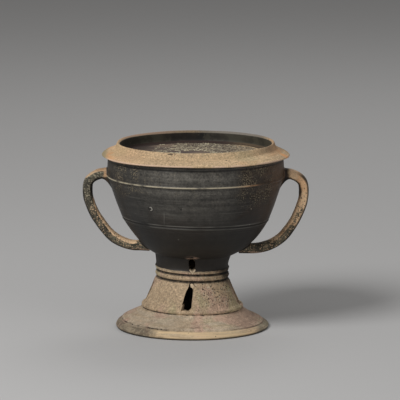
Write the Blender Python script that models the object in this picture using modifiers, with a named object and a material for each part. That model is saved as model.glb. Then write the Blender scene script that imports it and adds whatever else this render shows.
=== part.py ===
"""Stoneware cup on a tall windowed foot, with two strap handles and a lid that lifts off.

Metres, +Z up. The origin is on the ground under the middle of the cup's mouth.
"""
import math

import bmesh
import bpy
from mathutils import Matrix, Vector

OBJECT_NAME = "lidded_cup"

# Foot: a band around its edge, a low flare, then a hollow cone up to the waist
FOOT_RADIUS = 0.0662
FOOT_BAND_HEIGHT = 0.0062
FOOT_BAND_TOP_RADIUS = 0.0622
FOOT_BAND_FULLEST_HEIGHT = 0.0020
FOOT_EDGE_ROUND = 0.0012
FOOT_BEARING_WIDTH = 0.0085
FLARE_RISE = 0.0112
CONE_FOOT_RADIUS = 0.0440
CONE_FOOT_ROLL = 0.0028
CONE_RISE = 0.0251
CONE_TOP_RADIUS = 0.0323
FOOT_WALL = 0.0058

# Waist: two grooves and the ridges that they leave, under a short plain stem
WAIST_RISE = 0.0103
UPPER_GROOVE_DROP = 0.0033
LOWER_GROOVE_DROP = 0.0089
GROOVE_WIDTH = 0.0022
GROOVE_DEPTH = 0.0010
WAIST_RIDGE_PROUD = 0.0003
STEM_RADIUS = 0.0311
STEM_RISE = 0.0024
STEM_WALL = 0.0056

# Bowl: a round lower part up to the belly line, a leaning wall, and an upright neck above a thin ridge
BOWL_ROOT_RADIUS = 0.0329
BOWL_ROOT_RISE = 0.0089
BELLY_RISE = 0.0404
BELLY_RADIUS = 0.0633
BELLY_LINE_DEPTH = 0.0006
WALL_RISE = 0.0362
WALL_BULGE = 0.0007
NECK_RADIUS = 0.0756
NECK_RISE = 0.0190
NECK_RIDGE_PROUD = 0.0009
NECK_RIDGE_HEIGHT = 0.0026
LIP_ROUND = 0.0012
BOWL_WALL = 0.0056
BOWL_FLOOR_RISE = 0.0192
BOWL_FLOOR_FLAT = 0.0170
BOWL_FLOOR_DISH = 0.0009
BOWL_FLOOR_THICKNESS = 0.0085
CEILING_ROUND = 0.0022

# Lid: a sloping collar, an open ring that stands on it, and a floor recessed in the ring
LID_GAP = 0.0003
LID_RADIUS = 0.0809
LID_EDGE_THICKNESS = 0.0018
LID_EDGE_DROOP = 0.0016
COLLAR_RISE = 0.0026
RING_FOOT_RADIUS = 0.0697
RING_RISE = 0.0053
RING_RADIUS = 0.0677
RING_THICKNESS = 0.0028
RING_FILLET = 0.0026
RECESS_DEPTH = 0.0098
LID_FLOOR_THICKNESS = 0.0046
SPIGOT_CLEARANCE = 0.0012
SPIGOT_CHAMFER = 0.0022

# Handles: straps from the neck down to the round of the bowl
HANDLE_REACH = 0.0174
HANDLE_THICKNESS = 0.0084
HANDLE_WIDTH = 0.0130
HANDLE_TOP_OVER_RIDGE = 0.0014
HANDLE_FOOT_OVER_STEM = 0.0143
HANDLE_TOP_ROOT = 0.0034
HANDLE_FOOT_ROOT = 0.0075
HANDLE_ROOT_SWELL = 0.0012

# Windows: two tiers, one above the other, spaced round the foot by eye
WINDOW_ANGLES = (-91.5, -1.5, 79.0, 188.0)
UPPER_WINDOW_WIDTH = 0.0062
UPPER_WINDOW_HEIGHT = 0.0094
UPPER_WINDOW_OVER_WAIST = 0.0021
UPPER_WINDOW_NOTCH = 0.0020
LOWER_WINDOW_TOP_WIDTH = 0.0042
LOWER_WINDOW_FOOT_WIDTH = 0.0088
LOWER_WINDOW_HEIGHT = 0.0218
LOWER_WINDOW_OVER_FLARE = 0.0037
LOWER_WINDOW_SKEW = 0.0044

# The fired cup leans: its foot stands off the mouth's middle, and its waist dips to one side
LEAN = 0.0030
LEAN_RUN = 0.0300
WAIST_DIP_ANGLE = 1.72

# Courses of free curves, as shares of the rise or run that each one crosses
BELLY_PULL = (0.155, 0.28)
BOWL_ROOT_PULL = (0.35, 0.14)
FLARE_TOP_PULL = (0.29, 0.44)
FLARE_FOOT_PULL = (0.73, 0.36)
CONE_COURSE = ((0.30, 0.23), (0.60, 0.51), (0.82, 0.72))
INSIDE_FLOOR_PULL = 0.80
INSIDE_WALL_PULL = (0.30, 0.50)
HANDLE_COURSE = (
    (0.99, 0.80), (0.90, 0.967), (0.73, 0.998), (0.512, 0.924), (0.30, 0.778), (0.12, 0.582), (0.015, 0.315),
)

STEPS = 52
SMOOTH_ANGLE = math.radians(38)
WELD_DISTANCE = 0.00002

# Heights of the main levels, from the ground up
FLARE_TOP = FOOT_BAND_HEIGHT + FLARE_RISE
WAIST_FOOT = FLARE_TOP + CONE_RISE
WAIST_TOP = WAIST_FOOT + WAIST_RISE
STEM_TOP = WAIST_TOP + STEM_RISE
BELLY_LINE = STEM_TOP + BELLY_RISE
NECK_FOOT = BELLY_LINE + WALL_RISE
LIP = NECK_FOOT + NECK_RISE
BOWL_FLOOR = STEM_TOP + BOWL_FLOOR_RISE
SEAT = LIP + LID_GAP
COLLAR_FOOT = SEAT + LID_EDGE_THICKNESS
RING_FOOT = COLLAR_FOOT + COLLAR_RISE
RIM = RING_FOOT + RING_RISE
LID_FLOOR = RIM - RECESS_DEPTH


def curve_run(start, start_pull, end_pull, end, count):
    """Points (radius, height) along a cubic curve from just after its start to its end."""
    points = []
    for i in range(1, count + 1):
        t = i / count
        weights = ((1 - t) ** 3, 3 * t * (1 - t) ** 2, 3 * t * t * (1 - t), t ** 3)
        corners = (start, start_pull, end_pull, end)
        points.append(tuple(sum(w * c[k] for w, c in zip(weights, corners)) for k in (0, 1)))
    return points


def groove(radius, height, depth):
    """A groove cut into a wall of this radius, from the top down."""
    half = GROOVE_WIDTH / 2
    return [(radius, height + half), (radius - depth, height), (radius, height - half)]


def bowl_outside():
    """The cup's outer side from the lip down to the top of the stem."""
    half = NECK_RIDGE_HEIGHT / 2
    points = [(NECK_RADIUS - LIP_ROUND, LIP), (NECK_RADIUS, LIP - LIP_ROUND)]
    points += [(NECK_RADIUS, NECK_FOOT + half), (NECK_RADIUS + NECK_RIDGE_PROUD, NECK_FOOT)]
    points += [(NECK_RADIUS - NECK_RIDGE_PROUD / 2, NECK_FOOT - half)]
    wall_points = 3
    for i in range(1, wall_points):
        share = i / wall_points
        radius = NECK_RADIUS + (BELLY_RADIUS - NECK_RADIUS) * share
        points.append((radius + WALL_BULGE, NECK_FOOT - WALL_RISE * share))
    points += groove(BELLY_RADIUS, BELLY_LINE, BELLY_LINE_DEPTH)
    root = (BOWL_ROOT_RADIUS, STEM_TOP + BOWL_ROOT_RISE)
    belly_pull = (BELLY_RADIUS - BELLY_RISE * BELLY_PULL[0], BELLY_LINE - BELLY_RISE * BELLY_PULL[1])
    root_pull = (root[0] + BELLY_RISE * BOWL_ROOT_PULL[0], root[1] + BELLY_RISE * BOWL_ROOT_PULL[1])
    points += curve_run(points[-1], belly_pull, root_pull, root, 8)
    stem_pull = (STEM_RADIUS, STEM_TOP + BOWL_ROOT_RISE / 3)
    points += curve_run(root, root, stem_pull, (STEM_RADIUS, STEM_TOP), 3)
    return points


def foot_outside():
    """The outer side from under the stem down to the ground."""
    ridge_radius = STEM_RADIUS + WAIST_RIDGE_PROUD
    points = [(ridge_radius, WAIST_TOP - WAIST_RIDGE_PROUD)]
    points += groove(ridge_radius, WAIST_TOP - UPPER_GROOVE_DROP, GROOVE_DEPTH)
    points += groove(ridge_radius, WAIST_TOP - LOWER_GROOVE_DROP, GROOVE_DEPTH)
    points.append((CONE_TOP_RADIUS, WAIST_FOOT - GROOVE_DEPTH / 2))
    spread = CONE_FOOT_RADIUS - CONE_TOP_RADIUS
    points += [(CONE_TOP_RADIUS + spread * out, WAIST_FOOT - CONE_RISE * drop) for drop, out in CONE_COURSE]
    points += [(CONE_FOOT_RADIUS - GROOVE_DEPTH / 2, FLARE_TOP + CONE_FOOT_ROLL)]
    points += groove(CONE_FOOT_RADIUS, FLARE_TOP, GROOVE_DEPTH)
    edge = (FOOT_BAND_TOP_RADIUS - GROOVE_DEPTH, FOOT_BAND_HEIGHT + GROOVE_DEPTH)
    run = edge[0] - CONE_FOOT_RADIUS
    pull_out = (CONE_FOOT_RADIUS + run * FLARE_TOP_PULL[0], FLARE_TOP - FLARE_RISE * FLARE_TOP_PULL[1])
    pull_in = (CONE_FOOT_RADIUS + run * FLARE_FOOT_PULL[0], FOOT_BAND_HEIGHT + FLARE_RISE * FLARE_FOOT_PULL[1])
    points += curve_run(points[-1], pull_out, pull_in, edge, 4)
    points += [(FOOT_BAND_TOP_RADIUS, FOOT_BAND_HEIGHT), (FOOT_RADIUS, FOOT_BAND_FULLEST_HEIGHT)]
    points += [(FOOT_RADIUS - FOOT_EDGE_ROUND, 0.0)]
    return points


def foot_inside():
    """The hollow under the cup, from the bearing ring up to the middle of its ceiling."""
    bearing = FOOT_RADIUS - FOOT_EDGE_ROUND - FOOT_BEARING_WIDTH
    throat = STEM_RADIUS - STEM_WALL
    ceiling = BOWL_FLOOR - BOWL_FLOOR_THICKNESS
    return [
        (bearing, 0.0),
        (bearing - FOOT_EDGE_ROUND, FOOT_BAND_HEIGHT / 2),
        (CONE_FOOT_RADIUS - FOOT_EDGE_ROUND, FLARE_TOP - FOOT_WALL),
        (CONE_FOOT_RADIUS - FOOT_WALL, FLARE_TOP + FOOT_EDGE_ROUND),
        (throat, WAIST_FOOT),
        (throat, ceiling - CEILING_ROUND),
        (throat - CEILING_ROUND, ceiling - CEILING_ROUND / 4),
        (0.0, ceiling),
    ]


def bowl_inside():
    """The hollow of the bowl, from the middle of its floor up to the lip."""
    mouth = NECK_RADIUS - BOWL_WALL
    belly = BELLY_RADIUS - BOWL_WALL
    start = (BOWL_FLOOR_FLAT, BOWL_FLOOR + BOWL_FLOOR_DISH)
    points = [(0.0, BOWL_FLOOR), start]
    floor_pull = (belly * INSIDE_FLOOR_PULL, BOWL_FLOOR + BOWL_FLOOR_DISH * 2)
    rise = BELLY_LINE - BOWL_FLOOR
    wall_pull = (belly - rise * INSIDE_WALL_PULL[0], BELLY_LINE - rise * INSIDE_WALL_PULL[1])
    points += curve_run(start, floor_pull, wall_pull, (belly, BELLY_LINE), 6)
    points += [((mouth + belly) / 2 + WALL_BULGE, BELLY_LINE + WALL_RISE / 2), (mouth, NECK_FOOT)]
    points += [(mouth, LIP - LIP_ROUND), (mouth + LIP_ROUND, LIP)]
    return points


def lid_profile():
    """The lid from the middle of its recessed floor, over the ring and collar, to its underside."""
    ring_inside = RING_RADIUS - RING_THICKNESS
    spigot = NECK_RADIUS - BOWL_WALL - SPIGOT_CLEARANCE
    underside = LID_FLOOR - LID_FLOOR_THICKNESS
    rim_round = RING_THICKNESS / 4
    edge = COLLAR_FOOT - LID_EDGE_DROOP
    slope = LID_RADIUS - RING_FOOT_RADIUS
    return [
        (0.0, LID_FLOOR),
        (ring_inside - RING_FILLET, LID_FLOOR),
        (ring_inside - RING_FILLET * 0.3, LID_FLOOR + RING_FILLET * 0.3),
        (ring_inside, LID_FLOOR + RING_FILLET),
        (ring_inside, RIM - rim_round),
        (ring_inside + rim_round, RIM),
        (ring_inside + RING_THICKNESS / 2, RIM),
        (RING_RADIUS, RIM - rim_round),
        ((RING_RADIUS * 2 + RING_FOOT_RADIUS) / 3, RING_FOOT + RING_RISE / 2),
        (RING_FOOT_RADIUS, RING_FOOT),
        (RING_FOOT_RADIUS + slope / 3, RING_FOOT - COLLAR_RISE / 2),
        (LID_RADIUS - LID_EDGE_THICKNESS / 2, edge),
        (LID_RADIUS, edge - LID_EDGE_THICKNESS / 2),
        (LID_RADIUS - LID_EDGE_THICKNESS / 2, edge - LID_EDGE_THICKNESS),
        (NECK_RADIUS + LIP_ROUND, SEAT),
        (spigot, SEAT),
        (spigot, underside + SPIGOT_CHAMFER),
        (spigot - SPIGOT_CHAMFER, underside),
        (0.0, underside),
    ]


def smoothstep(value, low, high):
    """0 below low, 1 above high, and a smooth rise between them."""
    t = min(1.0, max(0.0, (value - low) / (high - low)))
    return t * t * (3 - 2 * t)


def leaned(point):
    """Where a point of the true turned cup went as it slumped in the kiln."""
    middle = (WAIST_FOOT + WAIST_TOP) / 2
    slope = math.tan(math.radians(WAIST_DIP_ANGLE))
    rising = math.sin(min(1.0, max(0.0, point.z / middle)) * math.pi / 2)
    dip = slope * rising * (1 - smoothstep(point.z, middle, LIP))
    shift = LEAN * (1 - smoothstep(point.z, WAIST_TOP, WAIST_TOP + LEAN_RUN))
    return Vector((point.x - shift, point.y, point.z - dip * point.x))


def lean(piece):
    for vertex in piece.data.vertices:
        vertex.co = leaned(vertex.co)


def material(name, color, roughness):
    made = bpy.data.materials.new(name)
    made.use_nodes = True
    shader = made.node_tree.nodes["Principled BSDF"]
    shader.inputs["Base Color"].default_value = (*color, 1.0)
    shader.inputs["Roughness"].default_value = roughness
    shader.inputs["Metallic"].default_value = 0.0
    return made


def turned(name, profile, collection):
    """A solid of revolution about Z from (radius, height) points, outer side top to bottom."""
    mesh = bpy.data.meshes.new(name)
    points = [(radius, 0.0, height) for radius, height in profile]
    mesh.from_pydata(points, [(i, i + 1) for i in range(len(points) - 1)], [])
    piece = bpy.data.objects.new(name, mesh)
    collection.objects.link(piece)
    screw = piece.modifiers.new("Turn", "SCREW")
    screw.steps = STEPS
    screw.render_steps = STEPS
    screw.use_merge_vertices = True
    screw.merge_threshold = WELD_DISTANCE
    return piece


def as_mesh(piece, name):
    """The evaluated shape of an object as a new mesh object in its place, with the first one removed."""
    graph = bpy.context.evaluated_depsgraph_get()
    mesh = bpy.data.meshes.new_from_object(piece.evaluated_get(graph))
    place = piece.matrix_world.copy()
    collections = list(piece.users_collection)
    bpy.data.objects.remove(piece)
    weld = bmesh.new()
    weld.from_mesh(mesh)
    bmesh.ops.remove_doubles(weld, verts=weld.verts, dist=WELD_DISTANCE)
    bmesh.ops.recalc_face_normals(weld, faces=weld.faces)
    weld.to_mesh(mesh)
    weld.free()
    made = bpy.data.objects.new(name, mesh)
    made.matrix_world = place
    for collection in collections:
        collection.objects.link(made)
    return made


def strap_section(collection):
    """The strap's cross-section: a rectangle with cut corners, width along X, thickness along Y."""
    data = bpy.data.curves.new("strap_section", "CURVE")
    data.dimensions = "2D"
    spline = data.splines.new("POLY")
    half_thick, half_wide = HANDLE_THICKNESS / 2, HANDLE_WIDTH / 2
    corners = ((1, 0.0), (0.92, 0.62), (0.45, 1), (-0.45, 1), (-0.92, 0.62),
               (-1, 0.0), (-0.92, -0.62), (-0.45, -1), (0.45, -1), (0.92, -0.62))
    spline.points.add(len(corners) - 1)
    for point, (across, along) in zip(spline.points, corners):
        point.co = (along * half_wide, across * half_thick, 0.0, 1.0)
    spline.use_cyclic_u = True
    section = bpy.data.objects.new("strap_section", data)
    section.hide_render = True
    collection.objects.link(section)
    return section


def radius_at(profile, height):
    """The outer radius of a profile, listed from the top down, at this height."""
    for (upper, top), (lower, foot) in zip(profile, profile[1:]):
        if foot <= height <= top and top > foot:
            return lower + (upper - lower) * (height - foot) / (top - foot)
    return profile[-1][0]


def handle_points():
    """The strap's middle line at +X, from inside the neck wall to inside the bowl's lower wall."""
    top = NECK_FOOT + HANDLE_TOP_OVER_RIDGE
    foot = STEM_TOP + HANDLE_FOOT_OVER_STEM
    root = radius_at(bowl_outside(), foot)
    reach = NECK_RADIUS + HANDLE_REACH - root
    points = [(NECK_RADIUS - HANDLE_TOP_ROOT, top)]
    points += [(root + reach * out, foot + (top - foot) * up) for up, out in HANDLE_COURSE]
    points.append((root - HANDLE_FOOT_ROOT, foot))
    return points


def handle(name, side, section, collection):
    """One strap handle, at side +1 or -1 of the cup."""
    data = bpy.data.curves.new(name, "CURVE")
    data.dimensions = "3D"
    data.resolution_u = 3
    data.bevel_mode = "OBJECT"
    data.bevel_object = section
    data.use_fill_caps = True
    spline = data.splines.new("BEZIER")
    points = handle_points()
    spline.bezier_points.add(len(points) - 1)
    for point, (out, height) in zip(spline.bezier_points, points):
        point.co = (side * out, 0.0, height)
        point.handle_left_type = point.handle_right_type = "AUTO"
    for end in (spline.bezier_points[0], spline.bezier_points[-1]):
        end.radius = 1 + HANDLE_ROOT_SWELL / HANDLE_THICKNESS
    piece = bpy.data.objects.new(name, data)
    collection.objects.link(piece)
    return as_mesh(piece, name)


def as_guide(piece):
    """Marks a cutter or joined shape that isn't a part by itself."""
    piece.hide_render = True
    piece.display_type = "WIRE"


def window_cutter(name, outline, angle, collection):
    """A prism that cuts a window: its outline is (sideways, height), and it looks out at this angle."""
    widest = max(radius_at(bowl_outside() + foot_outside(), height) for _, height in outline)
    inner = STEM_RADIUS - STEM_WALL * 2
    reach = widest + STEM_WALL - inner
    data = bpy.data.curves.new(name, "CURVE")
    data.dimensions = "2D"
    data.fill_mode = "BOTH"
    data.extrude = reach / 2
    spline = data.splines.new("POLY")
    spline.points.add(len(outline) - 1)
    for point, (across, height) in zip(spline.points, outline):
        point.co = (across, height, 0.0, 1.0)
    spline.use_cyclic_u = True
    piece = bpy.data.objects.new(name, data)
    collection.objects.link(piece)
    middle = inner + reach / 2
    upright = Matrix.Rotation(math.radians(90), 4, "Z") @ Matrix.Rotation(math.radians(90), 4, "X")
    turn = Matrix.Rotation(math.radians(angle), 4, "Z")
    piece.matrix_world = Matrix.Translation((-LEAN, 0, 0)) @ turn @ Matrix.Translation((middle, 0, 0)) @ upright
    bpy.context.view_layer.update()
    return as_mesh(piece, name)


def window_outlines():
    """The outlines of the upper windows, notched at the sill, and of the lower ones."""
    half = UPPER_WINDOW_WIDTH / 2
    low = WAIST_TOP + UPPER_WINDOW_OVER_WAIST
    high = low + UPPER_WINDOW_HEIGHT
    upper = [(-half, low), (0.0, low - UPPER_WINDOW_NOTCH), (half, low), (half, high), (-half, high)]
    foot = FLARE_TOP + LOWER_WINDOW_OVER_FLARE
    head = foot + LOWER_WINDOW_HEIGHT
    top, bottom = LOWER_WINDOW_TOP_WIDTH / 2, LOWER_WINDOW_FOOT_WIDTH / 2
    skew = LOWER_WINDOW_SKEW
    lower = [(-bottom - skew, foot), (bottom - skew, foot), (top, head - top), (0.0, head), (-top, head - top)]
    return upper, lower


def use_boolean(piece, other, operation):
    """Cuts another shape from this piece, or joins it to the piece."""
    as_guide(other)
    step = piece.modifiers.new(other.name, "BOOLEAN")
    step.operation = operation
    step.object = other


def make_cup(parts, cutters):
    profile = bowl_inside() + bowl_outside() + foot_outside() + foot_inside()
    cup = as_mesh(turned("cup", profile, parts), "cup")
    lean(cup)
    for tier, outline in zip(("upper", "lower"), window_outlines()):
        for i, angle in enumerate(WINDOW_ANGLES):
            cutter = window_cutter(f"window_{tier}_{i}", outline, angle, cutters)
            use_boolean(cup, cutter, "DIFFERENCE")
    section = strap_section(cutters)
    for side, name in ((1, "handle_right"), (-1, "handle_left")):
        strap = handle(name, side, section, cutters)
        lean(strap)
        use_boolean(cup, strap, "UNION")
    bpy.data.objects.remove(section)
    return cup


def finish(piece, finish_material):
    piece.data.materials.clear()
    piece.data.materials.append(finish_material)
    piece.data.shade_smooth()
    piece.data.set_sharp_from_angle(angle=SMOOTH_ANGLE)


def main():
    for old in list(bpy.data.objects):
        bpy.data.objects.remove(old)
    parts = bpy.data.collections.new(OBJECT_NAME)
    cutters = bpy.data.collections.new(OBJECT_NAME + "_cutters")
    for collection in (parts, cutters):
        bpy.context.scene.collection.children.link(collection)
    cup = make_cup(parts, cutters)
    finish(cup, material("charcoal_stoneware", (0.062, 0.058, 0.055), 0.62))
    lid = turned("lid", lid_profile(), parts)
    finish(lid, material("ash_tan_stoneware", (0.36, 0.27, 0.19), 0.80))


main()
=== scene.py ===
import math

import bmesh
import bpy
import numpy as np
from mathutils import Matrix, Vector, noise


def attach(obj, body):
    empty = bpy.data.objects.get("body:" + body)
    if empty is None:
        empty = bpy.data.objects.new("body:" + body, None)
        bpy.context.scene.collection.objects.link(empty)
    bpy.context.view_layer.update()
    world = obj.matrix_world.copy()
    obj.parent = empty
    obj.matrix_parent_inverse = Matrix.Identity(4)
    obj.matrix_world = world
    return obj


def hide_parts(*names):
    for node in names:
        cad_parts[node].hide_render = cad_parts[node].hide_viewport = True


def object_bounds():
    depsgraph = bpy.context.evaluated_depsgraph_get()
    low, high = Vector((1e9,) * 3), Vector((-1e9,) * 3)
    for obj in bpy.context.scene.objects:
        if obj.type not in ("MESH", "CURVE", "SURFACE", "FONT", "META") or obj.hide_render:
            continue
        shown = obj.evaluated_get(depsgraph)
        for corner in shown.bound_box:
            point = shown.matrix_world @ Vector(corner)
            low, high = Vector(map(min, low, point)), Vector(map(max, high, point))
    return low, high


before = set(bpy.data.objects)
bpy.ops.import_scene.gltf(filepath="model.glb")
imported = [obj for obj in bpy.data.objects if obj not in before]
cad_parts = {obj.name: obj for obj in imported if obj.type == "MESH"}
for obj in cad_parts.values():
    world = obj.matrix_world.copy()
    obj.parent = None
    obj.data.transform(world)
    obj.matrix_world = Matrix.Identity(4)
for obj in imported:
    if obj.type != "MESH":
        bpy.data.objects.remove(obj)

cad_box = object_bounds()

# Sizes, in metres: the turned shape

FOOT_RADIUS = 0.0662
FOOT_BAND_HEIGHT = 0.0062
FOOT_BAND_TOP_RADIUS = 0.0622
FOOT_BAND_FULLEST_HEIGHT = 0.0020
FOOT_EDGE_ROUND = 0.0012
FOOT_BEARING_WIDTH = 0.0085
FLARE_TOP = 0.0174
CONE_FOOT_RADIUS = 0.0440
CONE_FOOT_ROLL = 0.0028
CONE_TOP_RADIUS = 0.0323
FOOT_WALL = 0.0058
WAIST_FOOT = 0.0425
WAIST_TOP = 0.0528
WAIST_RIDGE_RADIUS = 0.0314
STEM_RADIUS = 0.0311
STEM_TOP = 0.0552
STEM_WALL = 0.0056
THROAT_RADIUS = STEM_RADIUS - STEM_WALL
BOWL_ROOT_RADIUS = 0.0329
BOWL_ROOT = 0.0641
BELLY_RADIUS = 0.0633
BELLY_LINE = 0.0956
NECK_RADIUS = 0.0756
NECK_FOOT = 0.1318
LIP = 0.1508
LIP_ROUND = 0.0012
WALL_BULGE = 0.0007
BOWL_WALL = 0.0056
BOWL_FLOOR = 0.0744
CEILING = 0.0659
CEILING_ROUND = 0.0022

# The outer wall's curves: where each is pulled, or how far down and how far out it has gone
BOWL_PULLS = ((0.0570, 0.0843), (0.0470, 0.0698))
CONE_COURSE = ((0.03, 0.0), (0.30, 0.23), (0.60, 0.51), (0.82, 0.72))
FLARE_PULLS = ((0.0490, 0.0125), (0.0565, 0.0103))
FLARE_END = (0.0612, 0.0075)

LID_RADIUS = 0.0809
LID_SEAT = 0.1511
LID_EDGE_THICKNESS = 0.0018
LID_EDGE_DROOP = 0.0016
LID_DROOP_RIGHT = 0.0009
LID_DROOP_LEFT = 0.0005
LID_EDGE_WAVE = 0.00022
LID_HOLLOW_RIGHT = 0.0010
COLLAR_FOOT = 0.1529
RING_FOOT = 0.1555
RING_FOOT_RADIUS = 0.0697
RING_RADIUS = 0.0677
RING_THICKNESS = 0.0028
RING_FILLET = 0.0026
RIM = 0.1608
LIP_FALL = 0.0016
RING_TIP = 0.0005
LID_FLOOR = 0.1510
LID_UNDERSIDE = 0.1464
SPIGOT_RADIUS = 0.0688
SPIGOT_CHAMFER = 0.0022

STRAP_REACH = 0.0174
STRAP_THICKNESS = 0.0084
STRAP_WIDTH = 0.0130
STRAP_TOP = 0.1332
STRAP_FOOT = 0.0695
STRAP_ROOT_SWELL = 0.06
STRAP_UNEVENNESS = 0.0004
STRAP_IN_NECK = 0.0046
STRAP_IN_BOWL = 0.0040
STRAP_POINTS = 150
NECK_FILLET = 0.0072
ROOT_FILLET = 0.0022
ROOT_REACH = 0.0052
STRAP_COURSE = (
    (0.99, 0.80), (0.90, 0.967), (0.73, 0.998), (0.512, 0.924), (0.30, 0.778), (0.12, 0.582), (0.015, 0.315),
)

LEAN = 0.0030
LEAN_RUN = 0.0300
WAIST_DIP = math.tan(math.radians(1.72))
FOOT_SAG = 0.0016

WINDOW_ANGLES = (-91.5, -1.5, 79.0, 188.0)
WINDOWS_FOOT = 0.0198
WINDOWS_TOP = 0.0660
KNIFE_SLIP = 0.22
KNIFE_REACH = (-0.45, 1.45)

BEAD_ANGLE = -123.0
BEAD_LEVEL = 0.1115
BEAD_WIDTH = 0.0030
BEAD_TILT = -0.3
ASH_THICKNESS = 0.0007

LINE_STEP = 0.0002
SMALLEST_GAP = 0.000002
HAIR = 0.0004
SHARP_EDGE = math.radians(38)

# Ridges stand out and grooves cut in: level, half-width, proud
CUP_LINES = (
    (0.1490, 0.0012, -0.00012), (0.1462, 0.0016, -0.00035), (0.1405, 0.0050, 0.00030),
    (NECK_FOOT, 0.0012, 0.00095), (0.1298, 0.0009, -0.00030), (0.1262, 0.0010, -0.00008),
    (0.1131, 0.0009, -0.00007), (0.0969, 0.0007, 0.00016), (BELLY_LINE, 0.0008, -0.00050),
    (0.0944, 0.0008, 0.00018), (0.0916, 0.0006, -0.00020), (0.0898, 0.0006, -0.00010),
    (0.0528, 0.0011, 0.00055), (0.0496, 0.0014, -0.00125), (0.0466, 0.0014, 0.00045),
    (0.0438, 0.0014, -0.00135), (0.0196, 0.0016, 0.00020), (FLARE_TOP, 0.0009, -0.00095),
    (0.0069, 0.0007, -0.00035), (0.0040, 0.0006, -0.00018),
)
LID_RIM_LINES = ((RING_FOOT, 0.0012, -0.00006), (0.1534, 0.0005, -0.00010))
# The same on the lid's floor: radius, half-width, proud
LID_FLOOR_LINES = ((0.0275, 0.0010, 0.00030), (0.0300, 0.0009, -0.00018), (0.0400, 0.0016, 0.00012))

# Each window's outline on the wall's outer side and on its inner side, in millimetres: aside, level
UPPER_WINDOW = (
    ((-3.1, 62.8), (-2, 64.3), (1, 64.4), (2.8, 62.1), (3.4, 58), (3.4, 55.2), (2.2, 53.4), (1.2, 52.8),
     (0.2, 53.2), (-1.7, 54.9), (-2.5, 57.8)),
    ((-2.7, 60.7), (-1.7, 62.2), (1.1, 62.3), (2.6, 60.5), (3.2, 57.8), (3, 55.6), (2, 54.9), (1, 54.7),
     (-0.2, 54.9), (-1.3, 55.6), (-2.3, 57.8)),
)
LOWER_WINDOW = (
    ((-1, 42.6), (-0.6, 41.6), (-0.5, 40), (0.8, 39.2), (1.8, 38), (1.4, 32), (0.9, 27.2), (0.4, 22.8),
     (-1.9, 20.9), (-4.8, 20.9), (-9.2, 21.2), (-8, 25.4), (-6.2, 30.6), (-4.4, 35.9)),
    ((-1.2, 41.4), (-0.9, 40.6), (-0.8, 39.2), (0.4, 38.2), (1.4, 37), (1.1, 31), (0.5, 26.3), (0.1, 22.3),
     (-2.1, 20.3), (-4.4, 20.9), (-5.9, 23.4), (-7.1, 25.8), (-6.2, 29.7), (-4.3, 34.9)),
)


# Small helpers on lines of points

def curve_run(start, start_pull, end_pull, end, count):
    """Points (radius, height) along a cubic curve, its start left out."""
    t = np.linspace(0, 1, count + 1)[1:, None]
    a, b, c, d = (np.array(p) for p in (start, start_pull, end_pull, end))
    return list((1 - t) ** 3 * a + 3 * t * (1 - t) ** 2 * b + 3 * t * t * (1 - t) * c + t ** 3 * d)


def run_along(points):
    """How far along a line each of its points is."""
    return np.concatenate([[0], np.cumsum(np.linalg.norm(np.diff(points, axis=0), axis=1))])


def worn(points, blur):
    """The line with a point at every step, and its corners rounded as firing rounds them. Its ends stay."""
    points = np.array(points, float)
    run = run_along(points)
    at = np.linspace(0, run[-1], max(2, int(round(run[-1] / LINE_STEP)) + 1))
    points = np.stack([np.interp(at, run, points[:, k]) for k in range(2)], 1)
    reach = int(blur / LINE_STEP * 3)
    weights = np.exp(-0.5 * (np.arange(-reach, reach + 1) * LINE_STEP / blur) ** 2)
    weights /= weights.sum()
    before, after = 2 * points[:1] - points[reach:0:-1], 2 * points[-1:] - points[-2:-reach - 2:-1]
    ends = np.concatenate([before, points, after])
    return np.stack([np.convolve(ends[:, k], weights, "valid") for k in range(2)], 1)


def raised(levels, lines):
    """How far the ridges stand out, and the grooves cut in, at these levels."""
    push = np.zeros(len(levels))
    for level, half, proud in lines:
        push += proud * (0.5 + 0.5 * np.cos(math.pi * np.clip(np.abs(levels - level) / half, 0, 1)))
    return push


def lined(points, lines):
    """The line pushed out at ridges and in at grooves."""
    along = np.gradient(points, axis=0)
    along /= np.linalg.norm(along, axis=1)[:, None]
    return points + np.stack([-along[:, 1], along[:, 0]], 1) * raised(points[:, 1], lines)[:, None]


def thinned(points, slack, longest):
    """Only the points that the line needs: none strays past slack, and no step is longer than longest."""
    keep = [0]
    while keep[-1] < len(points) - 1:
        first = keep[-1]
        last = first + 1
        while last < len(points) - 1:
            a, b = points[first], points[last + 1]
            chord = b - a
            length = np.linalg.norm(chord)
            between = points[first + 1:last + 1] - a
            stray = np.abs(between[:, 0] * chord[1] - between[:, 1] * chord[0]) / length
            if stray.max() > slack or length > longest:
                break
            last += 1
        keep.append(last)
    return points[keep]


def smoothstep(value, low, high):
    t = np.clip((value - low) / (high - low), 0, 1)
    return t * t * (3 - 2 * t)


def radius_at(line, level):
    """The radius of a line, listed from the top down, at these levels."""
    line = np.array(line)
    order = np.argsort(line[:, 1], kind="stable")
    return np.interp(level, line[order, 1], line[order, 0])


# The two turned lines

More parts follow.
